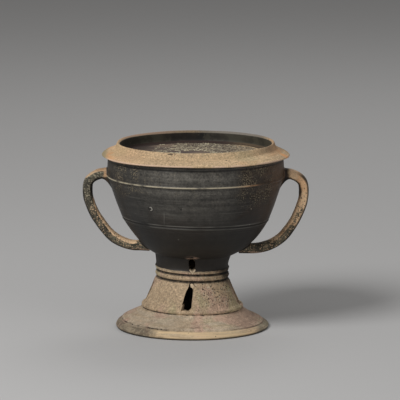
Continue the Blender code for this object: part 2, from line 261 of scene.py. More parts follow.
def cup_outside():
    """The cup's outer side from the lip to the ground, before its ridges and grooves."""
    points = [(NECK_RADIUS - LIP_ROUND, LIP), (NECK_RADIUS, LIP - LIP_ROUND), (NECK_RADIUS, NECK_FOOT)]
    for share in (0.03, 0.33, 0.66):
        bulge = WALL_BULGE * 4 * share * (1 - share)
        points.append((NECK_RADIUS + (BELLY_RADIUS - NECK_RADIUS) * share + bulge,
                       NECK_FOOT - (NECK_FOOT - BELLY_LINE) * share))
    points += [(BELLY_RADIUS, BELLY_LINE), (BELLY_RADIUS - 0.0004, BELLY_LINE - 0.0011)]
    root, stem = (BOWL_ROOT_RADIUS, BOWL_ROOT), (STEM_RADIUS, STEM_TOP)
    points += curve_run(points[-1], *BOWL_PULLS, root, 30)
    points += curve_run(root, root, (STEM_RADIUS, STEM_TOP + 0.0030), stem, 12)
    points += [(WAIST_RIDGE_RADIUS, WAIST_TOP), (WAIST_RIDGE_RADIUS, WAIST_FOOT)]
    fall, spread = WAIST_FOOT - FLARE_TOP, CONE_FOOT_RADIUS - CONE_TOP_RADIUS
    points += [(CONE_TOP_RADIUS + spread * out, WAIST_FOOT - fall * drop) for drop, out in CONE_COURSE]
    points += [(CONE_FOOT_RADIUS - 0.0005, FLARE_TOP + CONE_FOOT_ROLL), (CONE_FOOT_RADIUS, FLARE_TOP),
               (CONE_FOOT_RADIUS, FLARE_TOP - 0.0011)]
    points += curve_run(points[-1], *FLARE_PULLS, FLARE_END, 16)
    return points + [
        (FOOT_BAND_TOP_RADIUS, FOOT_BAND_HEIGHT), (0.0647, 0.0046), (FOOT_RADIUS, FOOT_BAND_FULLEST_HEIGHT),
        (FOOT_RADIUS - FOOT_EDGE_ROUND / 3, 0.0004), (FOOT_RADIUS - FOOT_EDGE_ROUND, 0.0),
    ]


def cup_line():
    """The whole cup from the middle of the bowl's floor to the middle of the foot's ceiling, and how far each
    point takes wheel marks."""
    mouth, belly = NECK_RADIUS - BOWL_WALL, BELLY_RADIUS - BOWL_WALL
    inside = [(0.0, BOWL_FLOOR), (0.0170, BOWL_FLOOR + 0.0009)]
    pulls = (belly * 0.80, BOWL_FLOOR + 0.0018), (0.0513, 0.0850)
    inside += curve_run(inside[-1], *pulls, (belly, BELLY_LINE), 14)
    inside += [((mouth + belly) / 2 + WALL_BULGE, (BELLY_LINE + NECK_FOOT) / 2), (mouth, NECK_FOOT)]
    inside += [(mouth, LIP - LIP_ROUND), (mouth + LIP_ROUND, LIP)]
    bearing = FOOT_RADIUS - FOOT_EDGE_ROUND - FOOT_BEARING_WIDTH
    under = [
        (bearing, 0.0), (bearing - FOOT_EDGE_ROUND, FOOT_BAND_HEIGHT / 2),
        (CONE_FOOT_RADIUS - FOOT_EDGE_ROUND, FLARE_TOP - FOOT_WALL),
        (CONE_FOOT_RADIUS - FOOT_WALL, FLARE_TOP + FOOT_EDGE_ROUND), (THROAT_RADIUS, WAIST_FOOT),
        (THROAT_RADIUS, CEILING - CEILING_ROUND),
        (THROAT_RADIUS - CEILING_ROUND, CEILING - CEILING_ROUND / 4), (0.0, CEILING),
    ]
    return marked(
        (thinned(worn(inside, 0.0004), 0.00003, 0.0060), 0.6),
        (thinned(lined(worn(cup_outside(), 0.00055), CUP_LINES), 0.000012, 0.0016), 1.0),
        (thinned(worn(under, 0.0006), 0.00004, 0.0045), 0.8),
    )


def lid_line():
    """The lid from the middle of its recessed floor to the middle of its underside, and how far each point
    takes wheel marks."""
    ring_inside = RING_RADIUS - RING_THICKNESS
    edge = COLLAR_FOOT - LID_EDGE_DROOP
    top = worn([
        (0.0, LID_FLOOR), (ring_inside - RING_FILLET, LID_FLOOR),
        (ring_inside - RING_FILLET * 0.3, LID_FLOOR + RING_FILLET * 0.3),
        (ring_inside, LID_FLOOR + RING_FILLET), (ring_inside, RIM - LIP_FALL),
        (ring_inside + RING_THICKNESS * 0.35, RIM - LIP_FALL * 0.45),
        (ring_inside + RING_THICKNESS * 0.65, RIM), (RING_RADIUS - 0.0003, RIM - 0.0001),
        (RING_RADIUS, RIM - 0.0007), ((RING_RADIUS * 2 + RING_FOOT_RADIUS) / 3, (RING_FOOT + RIM) / 2),
        (RING_FOOT_RADIUS, RING_FOOT), (0.0734, 0.1542), (0.0775, 0.1530),
        (LID_RADIUS - LID_EDGE_THICKNESS / 2, edge), (LID_RADIUS, edge - LID_EDGE_THICKNESS / 2),
        (LID_RADIUS - LID_EDGE_THICKNESS / 2, edge - LID_EDGE_THICKNESS), (NECK_RADIUS + LIP_ROUND, LID_SEAT),
    ], 0.0004)
    top[:, 1] += raised(top[:, 0], LID_FLOOR_LINES)
    outer = top[:, 0] > RING_RADIUS - 0.001
    top[outer] = lined(top, LID_RIM_LINES)[outer]
    under = worn([
        (NECK_RADIUS + LIP_ROUND, LID_SEAT), (SPIGOT_RADIUS, LID_SEAT),
        (SPIGOT_RADIUS, LID_UNDERSIDE + SPIGOT_CHAMFER), (SPIGOT_RADIUS - SPIGOT_CHAMFER, LID_UNDERSIDE),
        (0.0, LID_UNDERSIDE),
    ], 0.0003)
    return marked((thinned(top, 0.000012, 0.0016), 1.0), (thinned(under, 0.00003, 0.0040)[1:], 0.5))


def marked(*parts):
    """The parts of a line as one, and a number for each of its points."""
    return (np.concatenate([points for points, _ in parts]),
            np.concatenate([np.full(len(points), mark) for points, mark in parts]))


# Node trees written as sums

class Wire:
    """A node's output, so that work on outputs reads as arithmetic. Wire(tree) alone starts a tree."""

    def __init__(self, tree, socket=None):
        self.tree = tree
        self.socket = socket

    def node(self, kind, settings=None, sockets=None, output=0):
        """One more node: its settings first, then its sockets' values or links. Gives one of its outputs."""
        made = self.tree.nodes.new(kind)
        for name, value in (settings or {}).items():
            setattr(made, name, value)
        for name, value in (sockets or {}).items():
            if isinstance(value, Wire):
                self.tree.links.new(value.socket, made.inputs[name])
            else:
                made.inputs[name].default_value = value
        return Wire(self.tree, made.outputs[output] if len(made.outputs) else None)

    def out(self, output):
        """Another output of the same node."""
        return Wire(self.tree, self.socket.node.outputs[output])

    def math(self, operation, *values):
        return self.node("ShaderNodeMath", {"operation": operation}, dict(enumerate((self, *values))))

    def flipped(self, operation, value):
        """The operation with this output second: value - self, value / self."""
        return self.node("ShaderNodeMath", {"operation": operation}, {0: value, 1: self})

    def __pow__(self, other):
        return self.math("POWER", other)

    def __abs__(self):
        return self.math("ABSOLUTE")

    def rise(self, low, high):
        """0 below low, 1 above high, and a smooth rise between. With low above high it falls."""
        settings = {"interpolation_type": "SMOOTHSTEP"}
        return self.node("ShaderNodeMapRange", settings, {0: self, 1: low, 2: high, 3: 0, 4: 1})

    def spread(self, low, high, to_low, to_high):
        """The range low to high stretched evenly onto another one, and held at its ends."""
        sockets = {0: self, 1: low, 2: high, 3: to_low, 4: to_high}
        return self.node("ShaderNodeMapRange", {"clamp": True}, sockets)

    def band(self, middle, half):
        """1 at this value, and smoothly down to 0 a half-width away from it."""
        return abs(self - middle).rise(half, half * 0.25)

    def wavered(self, noise_wire, by):
        """This number, moved up and down by a noise around a half."""
        return self + (noise_wire - 0.5) * by

    def xyz(self):
        """The three numbers of a vector."""
        parts = self.node("ShaderNodeSeparateXYZ", None, {0: self})
        return parts, parts.out(1), parts.out(2)

    def between(self, first, second):
        """The first colour where this is 0, the second where it is 1."""
        settings = {"data_type": "RGBA", "clamp_factor": True}
        return self.node("ShaderNodeMix", settings, {0: self, 6: first, 7: second}, 2)

    def layered(self, *layers):
        """This colour under layers of others, each with how much of it shows."""
        color = self
        for other, factor in layers:
            color = factor.between(color, other)
        return color

    def scaled(self, *factors):
        """This colour made darker or lighter, or this vector shorter or longer, by each number."""
        made = self
        for factor in factors:
            made = made.node("ShaderNodeVectorMath", {"operation": "SCALE"}, {0: made, 3: factor})
        return made

    def grain(self, scale, detail=3, roughness=0.6, distortion=0):
        """Noise over a vector, from 0 to 1 around a half."""
        return self.node("ShaderNodeTexNoise", None, {
            "Vector": self, "Scale": scale, "Detail": detail,
            "Roughness": roughness, "Distortion": distortion,
        })

    def specks(self, scale, size, share, ragged=None):
        """Dots over a vector: how wide they are in their cells, the share of the cells that have one, and a
        noise that makes their outlines ragged."""
        cells = self.node("ShaderNodeTexVoronoi", {"feature": "F1"}, {"Vector": self, "Scale": scale})
        chance = cells.out(1).node("ShaderNodeSeparateColor", None, {0: cells.out(1)})
        far = cells.wavered(ragged, 0.9) if ragged else cells
        return far.rise(size, size * 0.45) * chance.rise(share + 0.04, share - 0.04)

    def through(self, kind, settings=None, **sockets):
        """This geometry, taken through one more node."""
        return self.node("GeometryNode" + kind, settings, {"Geometry": self, **sockets})


for sign, operation in (("add", "ADD"), ("sub", "SUBTRACT"), ("mul", "MULTIPLY"), ("truediv", "DIVIDE")):
    setattr(Wire, f"__{sign}__", lambda wire, other, step=operation: wire.math(step, other))
    setattr(Wire, f"__r{sign}__", lambda wire, other, step=operation: wire.flipped(step, other))


def vector(x, y, z):
    tree = next(value.tree for value in (x, y, z) if isinstance(value, Wire))
    return Wire(tree).node("ShaderNodeCombineXYZ", None, {0: x, 1: y, 2: z})


def distance(across, along):
    """How far away something is, from the steps to it in two directions."""
    return (across ** 2 + along ** 2) ** 0.5


def streaks(at, aside, along, *grain):
    """Noise drawn out round the wall, at a place given east, north and level."""
    east, north, level = at
    return vector(east * aside, north * aside, level * along).grain(1, *grain)


# Geometry trees

def geometry_tree(name, kinds):
    """An empty tree with named inputs. Gives its inputs by name."""
    tree = bpy.data.node_groups.new(name, "GeometryNodeTree")
    for label, kind in kinds.items():
        tree.interface.new_socket(label, in_out="INPUT", socket_type="NodeSocket" + kind)
    tree.interface.new_socket("Mesh", in_out="OUTPUT", socket_type="NodeSocketGeometry")
    entry = tree.nodes.new("NodeGroupInput")
    return {label: Wire(tree, entry.outputs[label]) for label in kinds}


def close_tree(mesh, material):
    """The tree's end: what is instanced becomes real and takes its material."""
    clad = mesh.through("RealizeInstances").through("SetMaterial", Material=material)
    exit_node = mesh.tree.nodes.new("NodeGroupOutput")
    mesh.tree.links.new(clad.socket, exit_node.inputs[0])
    return mesh.tree


def wheel_tree():
    """Turns a line of points round Z, then gives the wall its wheel marks and the slight warp of the kiln."""
    inlet = geometry_tree("Thrown on the wheel", {
        "Line": "Geometry", "Steps Round": "Int", "Mark Depth": "Float", "Marks Per Metre": "Float",
        "Warp": "Float", "Warp Size": "Float", "Seed": "Float", "Material": "Material",
    })
    line, steps, seed, room = (inlet[label] for label in ("Line", "Steps Round", "Seed", "Warp Size"))
    start = Wire(line.tree)
    rows = start.node("GeometryNodeAttributeDomainSize", {"component": "MESH"}, {0: line})
    sheet = start.node("GeometryNodeMeshGrid", None, {"Vertices X": steps + 1, "Vertices Y": rows})
    index = start.node("GeometryNodeInputIndex")
    column = (index / rows + 0.00001).math("FLOOR")
    row = index - column * rows

    def at_row(kind, value):
        return line.through("SampleIndex", {"data_type": kind, "domain": "POINT"}, Value=value, Index=row)

    place = start.node("GeometryNodeInputPosition")
    mark = start.node("GeometryNodeInputNamedAttribute", {"data_type": "FLOAT"}, {"Name": "marks"})
    radius, _, height = at_row("FLOAT_VECTOR", place).xyz()
    angle = column / steps * math.tau
    turned = vector(radius * angle.math("COSINE"), radius * angle.math("SINE"), height)
    wall = sheet.through("SetPosition", Position=turned)
    wall = wall.through("StoreNamedAttribute", {"data_type": "FLOAT", "domain": "POINT"},
                        Name="marks", Value=at_row("FLOAT", mark))
    wall = wall.through("MergeByDistance", Distance=SMALLEST_GAP)
    east, north, up = place.xyz()
    out = distance(east, north)
    coiled = vector(east * 14 + seed, north * 14, (up - out * 0.6) * inlet["Marks Per Metre"])
    marks = (coiled.grain(1, 2, 0.5) - 0.5) * inlet["Mark Depth"] * mark * 2
    roomy = vector(east / room + seed, north / room, up / room)
    warp = (roomy.grain(1, 1, 0.5) - 0.5) * inlet["Warp"] * 2 * out.rise(0.004, 0.03)
    facing = start.node("GeometryNodeInputNormal")
    wall = wall.through("SetPosition", Offset=facing.scaled(marks + warp))
    return close_tree(wall, inlet["Material"])


def strap_tree():
    """Draws a strap along a path: a rounded rectangle, swollen towards both roots, uneven as if rolled by
    hand, and filleted below where it leaves the neck."""
    inlet = geometry_tree("Strap pulled by hand", {
        "Path": "Geometry", "Width": "Float", "Thickness": "Float", "Root Swell": "Float",
        "Neck Fillet": "Float", "Unevenness": "Float", "Seed": "Float", "Material": "Material",
    })
    start = Wire(inlet["Path"].tree)
    path = start.node("GeometryNodeMeshToCurve", None, {0: inlet["Path"]})
    along = start.node("GeometryNodeSplineParameter")
    place = start.node("GeometryNodeInputPosition")
    swell = 1 + inlet["Root Swell"] * (along.rise(0.10, 0.02) + along.rise(0.90, 0.98))
    section = start.node("GeometryNodeCurvePrimitiveCircle", None, {"Resolution": 36, "Radius": 1.0})
    across, deep, _ = place.xyz()
    wide = across.math("SIGN") * abs(across) ** 0.62 * inlet["Width"] / 2
    thick = deep.math("SIGN") * abs(deep) ** 0.55 * inlet["Thickness"] / 2
    section = section.through("SetPosition", Position=vector(wide, thick, 0))
    strap = start.node("GeometryNodeCurveToMesh", None,
                       {"Curve": path, "Profile Curve": section, "Scale": swell, "Fill Caps": True})
    strap = strap.through("MergeByDistance", Distance=SMALLEST_GAP)
    east, north, up = place.xyz()
    near_wall = abs(east).spread(NECK_RADIUS + 0.0056, NECK_RADIUS - 0.0032, 0, 1)
    at_neck = near_wall ** 2 * up.rise(0.114, 0.120)
    stretch = (up.rise(0.1340, 0.1374) * 0.45 - up.rise(0.1368, 0.1286)) * at_neck * inlet["Neck Fillet"]
    strap = strap.through("SetPosition", Offset=vector(0, 0, stretch))
    lumps = vector(east * 90 + inlet["Seed"], north * 90, up * 90).grain(1, 2, 0.5) - 0.5
    facing = start.node("GeometryNodeInputNormal")
    strap = strap.through("SetPosition", Offset=facing.scaled(lumps * inlet["Unevenness"] * 2))
    return close_tree(strap, inlet["Material"])


def crust_tree():
    """Scatters flat grains of melted ash over a level ring, close in some places and bare in others."""
    inlet = geometry_tree("Ash crust", {
        "Grains": "Int", "Inner Radius": "Float", "Outer Radius": "Float", "Level": "Float",
        "Grain Size": "Float", "Bare Share": "Float", "Seed": "Int", "Material": "Material",
    })
    inner, outer, size = (inlet[label] for label in ("Inner Radius", "Outer Radius", "Grain Size"))
    start = Wire(inner.tree)

    def chance(low, high, step):
        return start.node("FunctionNodeRandomValue", {"data_type": "FLOAT"},
                          {2: low, 3: high, "Seed": inlet["Seed"] + step}, 1)

    points = start.node("GeometryNodePoints", None, {"Count": inlet["Grains"], "Radius": 0.001})
    angle = chance(0, math.tau, 1)
    radius = (inner ** 2 + (outer ** 2 - inner ** 2) * chance(0, 1, 2)) ** 0.5
    spot = vector(radius * angle.math("COSINE"), radius * angle.math("SINE"), inlet["Level"])
    points = points.through("SetPosition", Position=spot)
    place = start.node("GeometryNodeInputPosition")
    patchy = place.grain(60)
    east, _, _ = place.xyz()
    patchy = patchy - abs(east - 0.001).spread(0.030, 0.046, 0, 0.3)
    there = start.node("FunctionNodeCompare", {"data_type": "FLOAT", "operation": "GREATER_THAN"},
                       {0: patchy, 1: inlet["Bare Share"]})
    grain = start.node("GeometryNodeMeshIcoSphere", None, {"Radius": 1.0, "Subdivisions": 1})
    scale = vector(size * chance(0.5, 1.6, 3), size * chance(0.5, 1.6, 4), size * chance(0.25, 0.7, 5))
    turn = vector(0, 0, chance(0, math.tau, 6))
    crust = start.node("GeometryNodeInstanceOnPoints", None, {
        "Points": points, "Selection": there, "Instance": grain, "Rotation": turn, "Scale": scale,
    })
    return close_tree(crust, inlet["Material"])


def added(name, data):
    """A new object in the scene."""
    made = bpy.data.objects.new(name, data)
    bpy.context.scene.collection.objects.link(made)
    return made


def settled(piece):
    """The plain mesh that an object's modifiers make."""
    graph = bpy.context.evaluated_depsgraph_get()
    return bpy.data.meshes.new_from_object(piece.evaluated_get(graph))


def grown(name, tree, source, values):
    """The mesh that a tree makes from a source mesh, as a finished object at the origin."""
    seed = added(name + "_source", source)
    step = seed.modifiers.new("Tree", "NODES")
    step.node_group = tree
    for item in tree.interface.items_tree:
        if item.item_type == "SOCKET" and item.in_out == "INPUT" and item.name in values:
            step[item.identifier] = values[item.name]
    mesh = settled(seed)
    seed.modifiers.remove(step)
    bpy.data.objects.remove(seed)
    bpy.data.meshes.remove(source)
    mesh.name = name
    return added(name, mesh)


def number_layer(mesh, name, values, domain="POINT"):
    """Keeps one number at each point or face."""
    mesh.attributes.new(name, "FLOAT", domain).data.foreach_set("value", values.astype(np.float32))


def line_mesh(name, points):
    """A polyline as a mesh of edges."""
    mesh = bpy.data.meshes.new(name)
    steps = [(i, i + 1) for i in range(len(points) - 1)]
    mesh.from_pydata([tuple(map(float, point)) for point in points], steps, [])
    return mesh


# Shaping the cup

def leaned(points):
    """Where points of the cup went as it slumped: it leans, its waist dips, one side of its foot sags."""
    east, north, level = points.T
    middle = (WAIST_FOOT + WAIST_TOP) / 2
    rising = np.sin(np.clip(level / middle, 0, 1) * math.pi / 2)
    dip = WAIST_DIP * rising * (1 - smoothstep(level, middle, LIP))
    shift = LEAN * (1 - smoothstep(level, WAIST_TOP, WAIST_TOP + LEAN_RUN))
    out = np.hypot(east, north)
    sag = FOOT_SAG * smoothstep(out, 0.0445, 0.0530) * smoothstep(level, 0.0006, 0.0062)
    sag *= np.clip(east / np.maximum(out, 1e-6), 0, 1) ** 2 * (level < FLARE_TOP)
    return np.stack([east - shift, north, level - dip * east - sag], 1)


def thrown_place(points):
    """Where points of the slumped cup were when it was thrown."""
    thrown = points.copy()
    for _ in range(8):
        thrown += points - leaned(thrown)
    return thrown


def threes(elements, field):
    """One field of a mesh's elements, as rows of three numbers."""
    values = np.empty(len(elements) * 3)
    elements.foreach_get(field, values)
    return values.reshape(-1, 3)


def places(mesh):
    return threes(mesh.vertices, "co")


def set_places(mesh, points):
    mesh.vertices.foreach_set("co", points.astype(np.float32).ravel())
    mesh.update()


def aside_from(angles, angle):
    """How many radians these angles, in degrees, are to one side of another."""
    return np.radians((angles - angle + 180) % 360 - 180)


def throat_at(level):
    """The radius of the hollow foot's inner side at these levels."""
    fall = np.clip((WAIST_FOOT - level) / (WAIST_FOOT - FLARE_TOP), 0, 1)
    return THROAT_RADIUS + (CONE_FOOT_RADIUS - FOOT_WALL - THROAT_RADIUS) * fall


def strap_path(side):
    """The strap's middle line at one side, from inside the neck's wall to inside the bowl's lower wall."""
    root = float(radius_at(cup_outside(), STRAP_FOOT))
    reach = NECK_RADIUS + STRAP_REACH - root
    course = [(NECK_RADIUS - STRAP_IN_NECK, STRAP_TOP - 0.0010)]
    tall = STRAP_TOP - STRAP_FOOT
    course += [(root + reach * out, STRAP_FOOT + tall * up) for up, out in STRAP_COURSE]
    course = np.array(course + [(root - STRAP_IN_BOWL, STRAP_FOOT)])
    run = run_along(course)
    slope = np.gradient(course, run, axis=0)
    at = np.linspace(0, run[-1], STRAP_POINTS)
    span = np.clip(np.searchsorted(run, at, "right") - 1, 0, len(run) - 2)
    length = (run[span + 1] - run[span])[:, None]
    t = (at - run[span])[:, None] / length
    smooth = (
        (2 * t ** 3 - 3 * t ** 2 + 1) * course[span] + (t ** 3 - 2 * t ** 2 + t) * slope[span] * length
        + (3 * t ** 2 - 2 * t ** 3) * course[span + 1] + (t ** 3 - t ** 2) * slope[span + 1] * length
    )
    return np.stack([side * smooth[:, 0], np.zeros(len(smooth)), smooth[:, 1]], 1)


def chip_foot(points):
    """Knocks flakes from the foot's edge and wears the line over its band, most of all at the front left."""
    at_front, elsewhere = 16, 14
    rng = np.random.default_rng(11)
    angle = np.degrees(np.arctan2(points[:, 1], points[:, 0]))
    radius = np.hypot(points[:, 0], points[:, 1])
    outside = radius > CONE_FOOT_RADIUS
    where = np.concatenate([rng.uniform(-160, -95, at_front), rng.uniform(-180, 180, elsewhere)])
    levels = np.concatenate([rng.normal(0.0066, 0.0005, at_front), rng.normal(0.0042, 0.0020, elsewhere)])
    widths = rng.uniform(0.0016, 0.0042, at_front + elsewhere)
    depths = rng.uniform(0.0003, 0.0009, at_front + elsewhere)
    for spot, level, width, depth in zip(where, levels, widths, depths):
        aside = aside_from(angle, spot) * FOOT_RADIUS
        far = (aside / width) ** 2 + ((points[:, 2] - level) / (width * 0.45)) ** 2
        bite = depth * np.clip(1.2 - far, 0, 1) * outside
        points[:, :2] -= points[:, :2] / np.maximum(radius, 1e-6)[:, None] * bite[:, None]
    return points


def window_cutters(material):
    """The eight knife cuts through the foot as one mesh of closed prisms, stretched past their outlines."""
    rng = np.random.default_rng(5)
    walls = ((UPPER_WINDOW, lambda level: STEM_RADIUS + HAIR, lambda level: THROAT_RADIUS - HAIR),
             (LOWER_WINDOW, lambda level: float(radius_at(cup_outside(), level)), throat_at))
    mesh = bmesh.new()
    for (outer, inner), outside_at, inside_at in walls:
        for angle in WINDOW_ANGLES:
            turn = math.radians(angle)
            jitter = rng.normal(0.0, KNIFE_SLIP, (len(outer), 2)) * (angle != WINDOW_ANGLES[0])
            rings = [[], []]
            for (across, level), (across_in, level_in), (more, higher) in zip(outer, inner, jitter):
                start = np.array([outside_at(level / 1000) * 1000, across + more, level + higher])
                end = np.array([inside_at(level_in / 1000) * 1000, across_in + more, level_in + higher])
                for ring, share in zip(rings, KNIFE_REACH):
                    out, side, up = (start + (end - start) * share) / 1000
                    place = (out * math.cos(turn) - side * math.sin(turn),
                             out * math.sin(turn) + side * math.cos(turn), up)
                    ring.append(mesh.verts.new(leaned(np.array([place]))[0]))
            skin_rings(mesh, rings)
    bmesh.ops.triangulate(mesh, faces=mesh.faces)
    return object_from(mesh, "window_cutters", material)


def skin_rings(mesh, rings):
    """Faces from each ring of points to the next, and one across each end."""
    for ring, following in zip(rings, rings[1:]):
        for i in range(len(ring)):
            k = (i + 1) % len(ring)
            mesh.faces.new((ring[i], ring[k], following[k], following[i]))
    mesh.faces.new(rings[0][::-1])
    mesh.faces.new(rings[-1])


def object_from(mesh, name, material):
    """An object with what bmesh holds, its faces turned outwards, and one material."""
    bmesh.ops.recalc_face_normals(mesh, faces=mesh.faces)
    data = bpy.data.meshes.new(name)
    mesh.to_mesh(data)
    mesh.free()
    data.materials.append(material)
    return added(name, data)


def combined(piece, other, operation):
    """The piece with another closed mesh cut from it or joined to it; the other one is removed."""
    step = piece.modifiers.new("Combine", "BOOLEAN")
    step.operation = operation
    step.solver = "MANIFOLD"
    step.object = other
    mesh = settled(piece)
    piece.modifiers.remove(step)
    old = piece.data
    piece.data = mesh
    bpy.data.meshes.remove(old)
    bpy.data.objects.remove(other)
    mesh.name = piece.name


def outward(mesh):
    """Makes every face of a closed mesh point out."""
    work = bmesh.new()
    work.from_mesh(mesh)
    bmesh.ops.recalc_face_normals(work, faces=work.faces)
    work.to_mesh(mesh)
    work.free()


def joints_softened(mesh, near):
    """Smooths a mesh where near is above 0, as wet clay is smoothed round a handle's roots."""
    rounds, pull = 10, 0.6
    points = places(mesh)
    edges = np.empty(len(mesh.edges) * 2, np.int64)
    mesh.edges.foreach_get("vertices", edges)
    edges = edges.reshape(-1, 2)
    count = np.bincount(edges.ravel(), minlength=len(points))[:, None]
    for _ in range(rounds):
        total = np.zeros_like(points)
        np.add.at(total, edges[:, 0], points[edges[:, 1]])
        np.add.at(total, edges[:, 1], points[edges[:, 0]])
        points += (total / count - points) * near[:, None] * pull
    set_places(mesh, points)


def distance_to_path(points, path, side):
    """How far each point is from a strap's path, and how far out of the path it lies, in half thicknesses."""
    best = np.full(len(points), 1.0)
    out = np.zeros(len(points))
    run = np.gradient(path, axis=0)
    run /= np.linalg.norm(run, axis=1)[:, None]
    for spot, (run_east, _, run_up) in zip(path, run):
        away = points - spot
        far = np.linalg.norm(away, axis=1)
        closer = far < best
        best[closer] = far[closer]
        out[closer] = (away[closer, 2] * run_east - away[closer, 0] * run_up) * side / (STRAP_THICKNESS / 2)
    return best, out


def window_burr(thrown):
    """1 on the clay that the knife pushed up over an upper window's head."""
    over_head, wide, high = 0.0014, 0.0058, 0.0024
    head = UPPER_WINDOW[0][1][1] / 1000 + over_head
    angle = np.degrees(np.arctan2(thrown[:, 1], thrown[:, 0]))
    burr = np.zeros(len(thrown))
    for window in WINDOW_ANGLES:
        aside = aside_from(angle, window) * STEM_RADIUS
        far = (aside / wide) ** 2 + ((thrown[:, 2] - head) / high) ** 2
        burr = np.maximum(burr, np.clip(1.3 - far, 0, 1))
    return burr * (np.hypot(thrown[:, 0], thrown[:, 1]) > STEM_RADIUS - 0.001)


def cut_faces(centres):
    """1 on the faces that the knife left inside the foot's wall, a little in from both its sides."""
    from_inside, from_outside = 0.0006, 0.0007
    radius, level = np.hypot(centres[:, 0], centres[:, 1]), centres[:, 2]
    groove = sum(np.clip(-proud * (1 - np.abs(level - at) / half), 0, None) for at, half, proud in CUP_LINES)
    skin = radius_at(cup_outside(), level) - from_outside - groove * 1.6
    in_wall = (radius > throat_at(level) + from_inside) & (radius < skin)
    return (in_wall & (level > WINDOWS_FOOT) & (level < WINDOWS_TOP)).astype(float)


def turned_piece(name, profile, sizes):
    """What the wheel makes of a line, with its faces outwards."""
    line, marks = profile
    source = line_mesh(name + "_line", [(r, 0.0, z) for r, z in line])
    number_layer(source, "marks", marks)
    piece = grown(name, wheel_tree(), source, sizes)
    outward(piece.data)
    return piece


def smooth_but_sharp(mesh):
    """Smooth shading that stops at sharp edges."""
    mesh.shade_smooth()
    mesh.set_sharp_from_angle(angle=SHARP_EDGE)


def make_cup(finish):
    """The fired cup: thrown bowl and foot, cut windows and two straps, all one closed mesh."""
    cup = turned_piece("cup_with_straps", cup_line(), {
        "Steps Round": 216, "Mark Depth": 0.00007, "Marks Per Metre": 420.0, "Warp": 0.00035,
        "Warp Size": 0.045, "Seed": 3.0, "Material": finish,
    })
    set_places(cup.data, leaned(chip_foot(places(cup.data))))
    combined(cup, window_cutters(finish), "DIFFERENCE")
    turn = math.radians(BEAD_ANGLE)
    wall = float(radius_at(cup_outside(), BEAD_LEVEL))
    facing = (math.cos(turn), math.sin(turn), BEAD_TILT)
    bead_place = leaned(np.array([[wall * facing[0], wall * facing[1], BEAD_LEVEL]]))[0]
    combined(cup, make_bead(bead_place, facing, BEAD_WIDTH, finish), "UNION")
    straps = strap_tree()
    paths = {side: leaned(strap_path(side)) for side in (1, -1)}
    for side, seed in ((1, 4.0), (-1, 9.0)):
        strap = grown("strap", straps, line_mesh("strap_path", paths[side]), {
            "Width": STRAP_WIDTH, "Thickness": STRAP_THICKNESS, "Root Swell": STRAP_ROOT_SWELL,
            "Neck Fillet": NECK_FILLET, "Unevenness": STRAP_UNEVENNESS, "Seed": seed, "Material": finish,
        })
        outward(strap.data)
        combined(cup, strap, "UNION")

    mesh = cup.data
    points = places(mesh)
    thrown = thrown_place(points)
    proud = np.hypot(thrown[:, 0], thrown[:, 1]) - radius_at(cup_outside(), thrown[:, 2])
    far = np.full(len(points), 1.0)
    outer = np.zeros(len(points))
    for side, path in paths.items():
        from_path, out = distance_to_path(points, path[::2], side)
        outer = np.where(from_path < far, out, outer)
        far = np.minimum(far, from_path)
    near = np.clip(1.4 - np.abs(proud) / ROOT_FILLET, 0, 1) * np.clip(2.2 - far / ROOT_REACH, 0, 1)
    joints_softened(mesh, near * (thrown[:, 2] > WAIST_TOP + 0.012))
    set_places(mesh, np.clip(places(mesh), np.array(cad_box[0]), np.array(cad_box[1])))

    thrown = thrown_place(places(mesh))
    near_bead = np.linalg.norm(places(mesh) - bead_place, axis=1) < BEAD_WIDTH * 0.85
    for name, values in (
        ("level", thrown[:, 2]),
        ("upward", threes(mesh.vertices, "normal")[:, 2]),
        ("outer", outer),
        ("bead", (0.5 + 0.5 * smoothstep(proud, 0.00012, 0.00030)) * near_bead),
        ("hidden", smoothstep(-proud, 0.0030, 0.0042) * (thrown[:, 2] < LIP - 0.002)),
        ("strap", smoothstep(proud, 0.0003, 0.0018) * (far < 0.014)),
        ("burr", window_burr(thrown)),
    ):
        number_layer(mesh, name, values)
    number_layer(mesh, "cut", cut_faces(thrown_place(threes(mesh.polygons, "center"))), "FACE")
    smooth_but_sharp(mesh)
    return cup


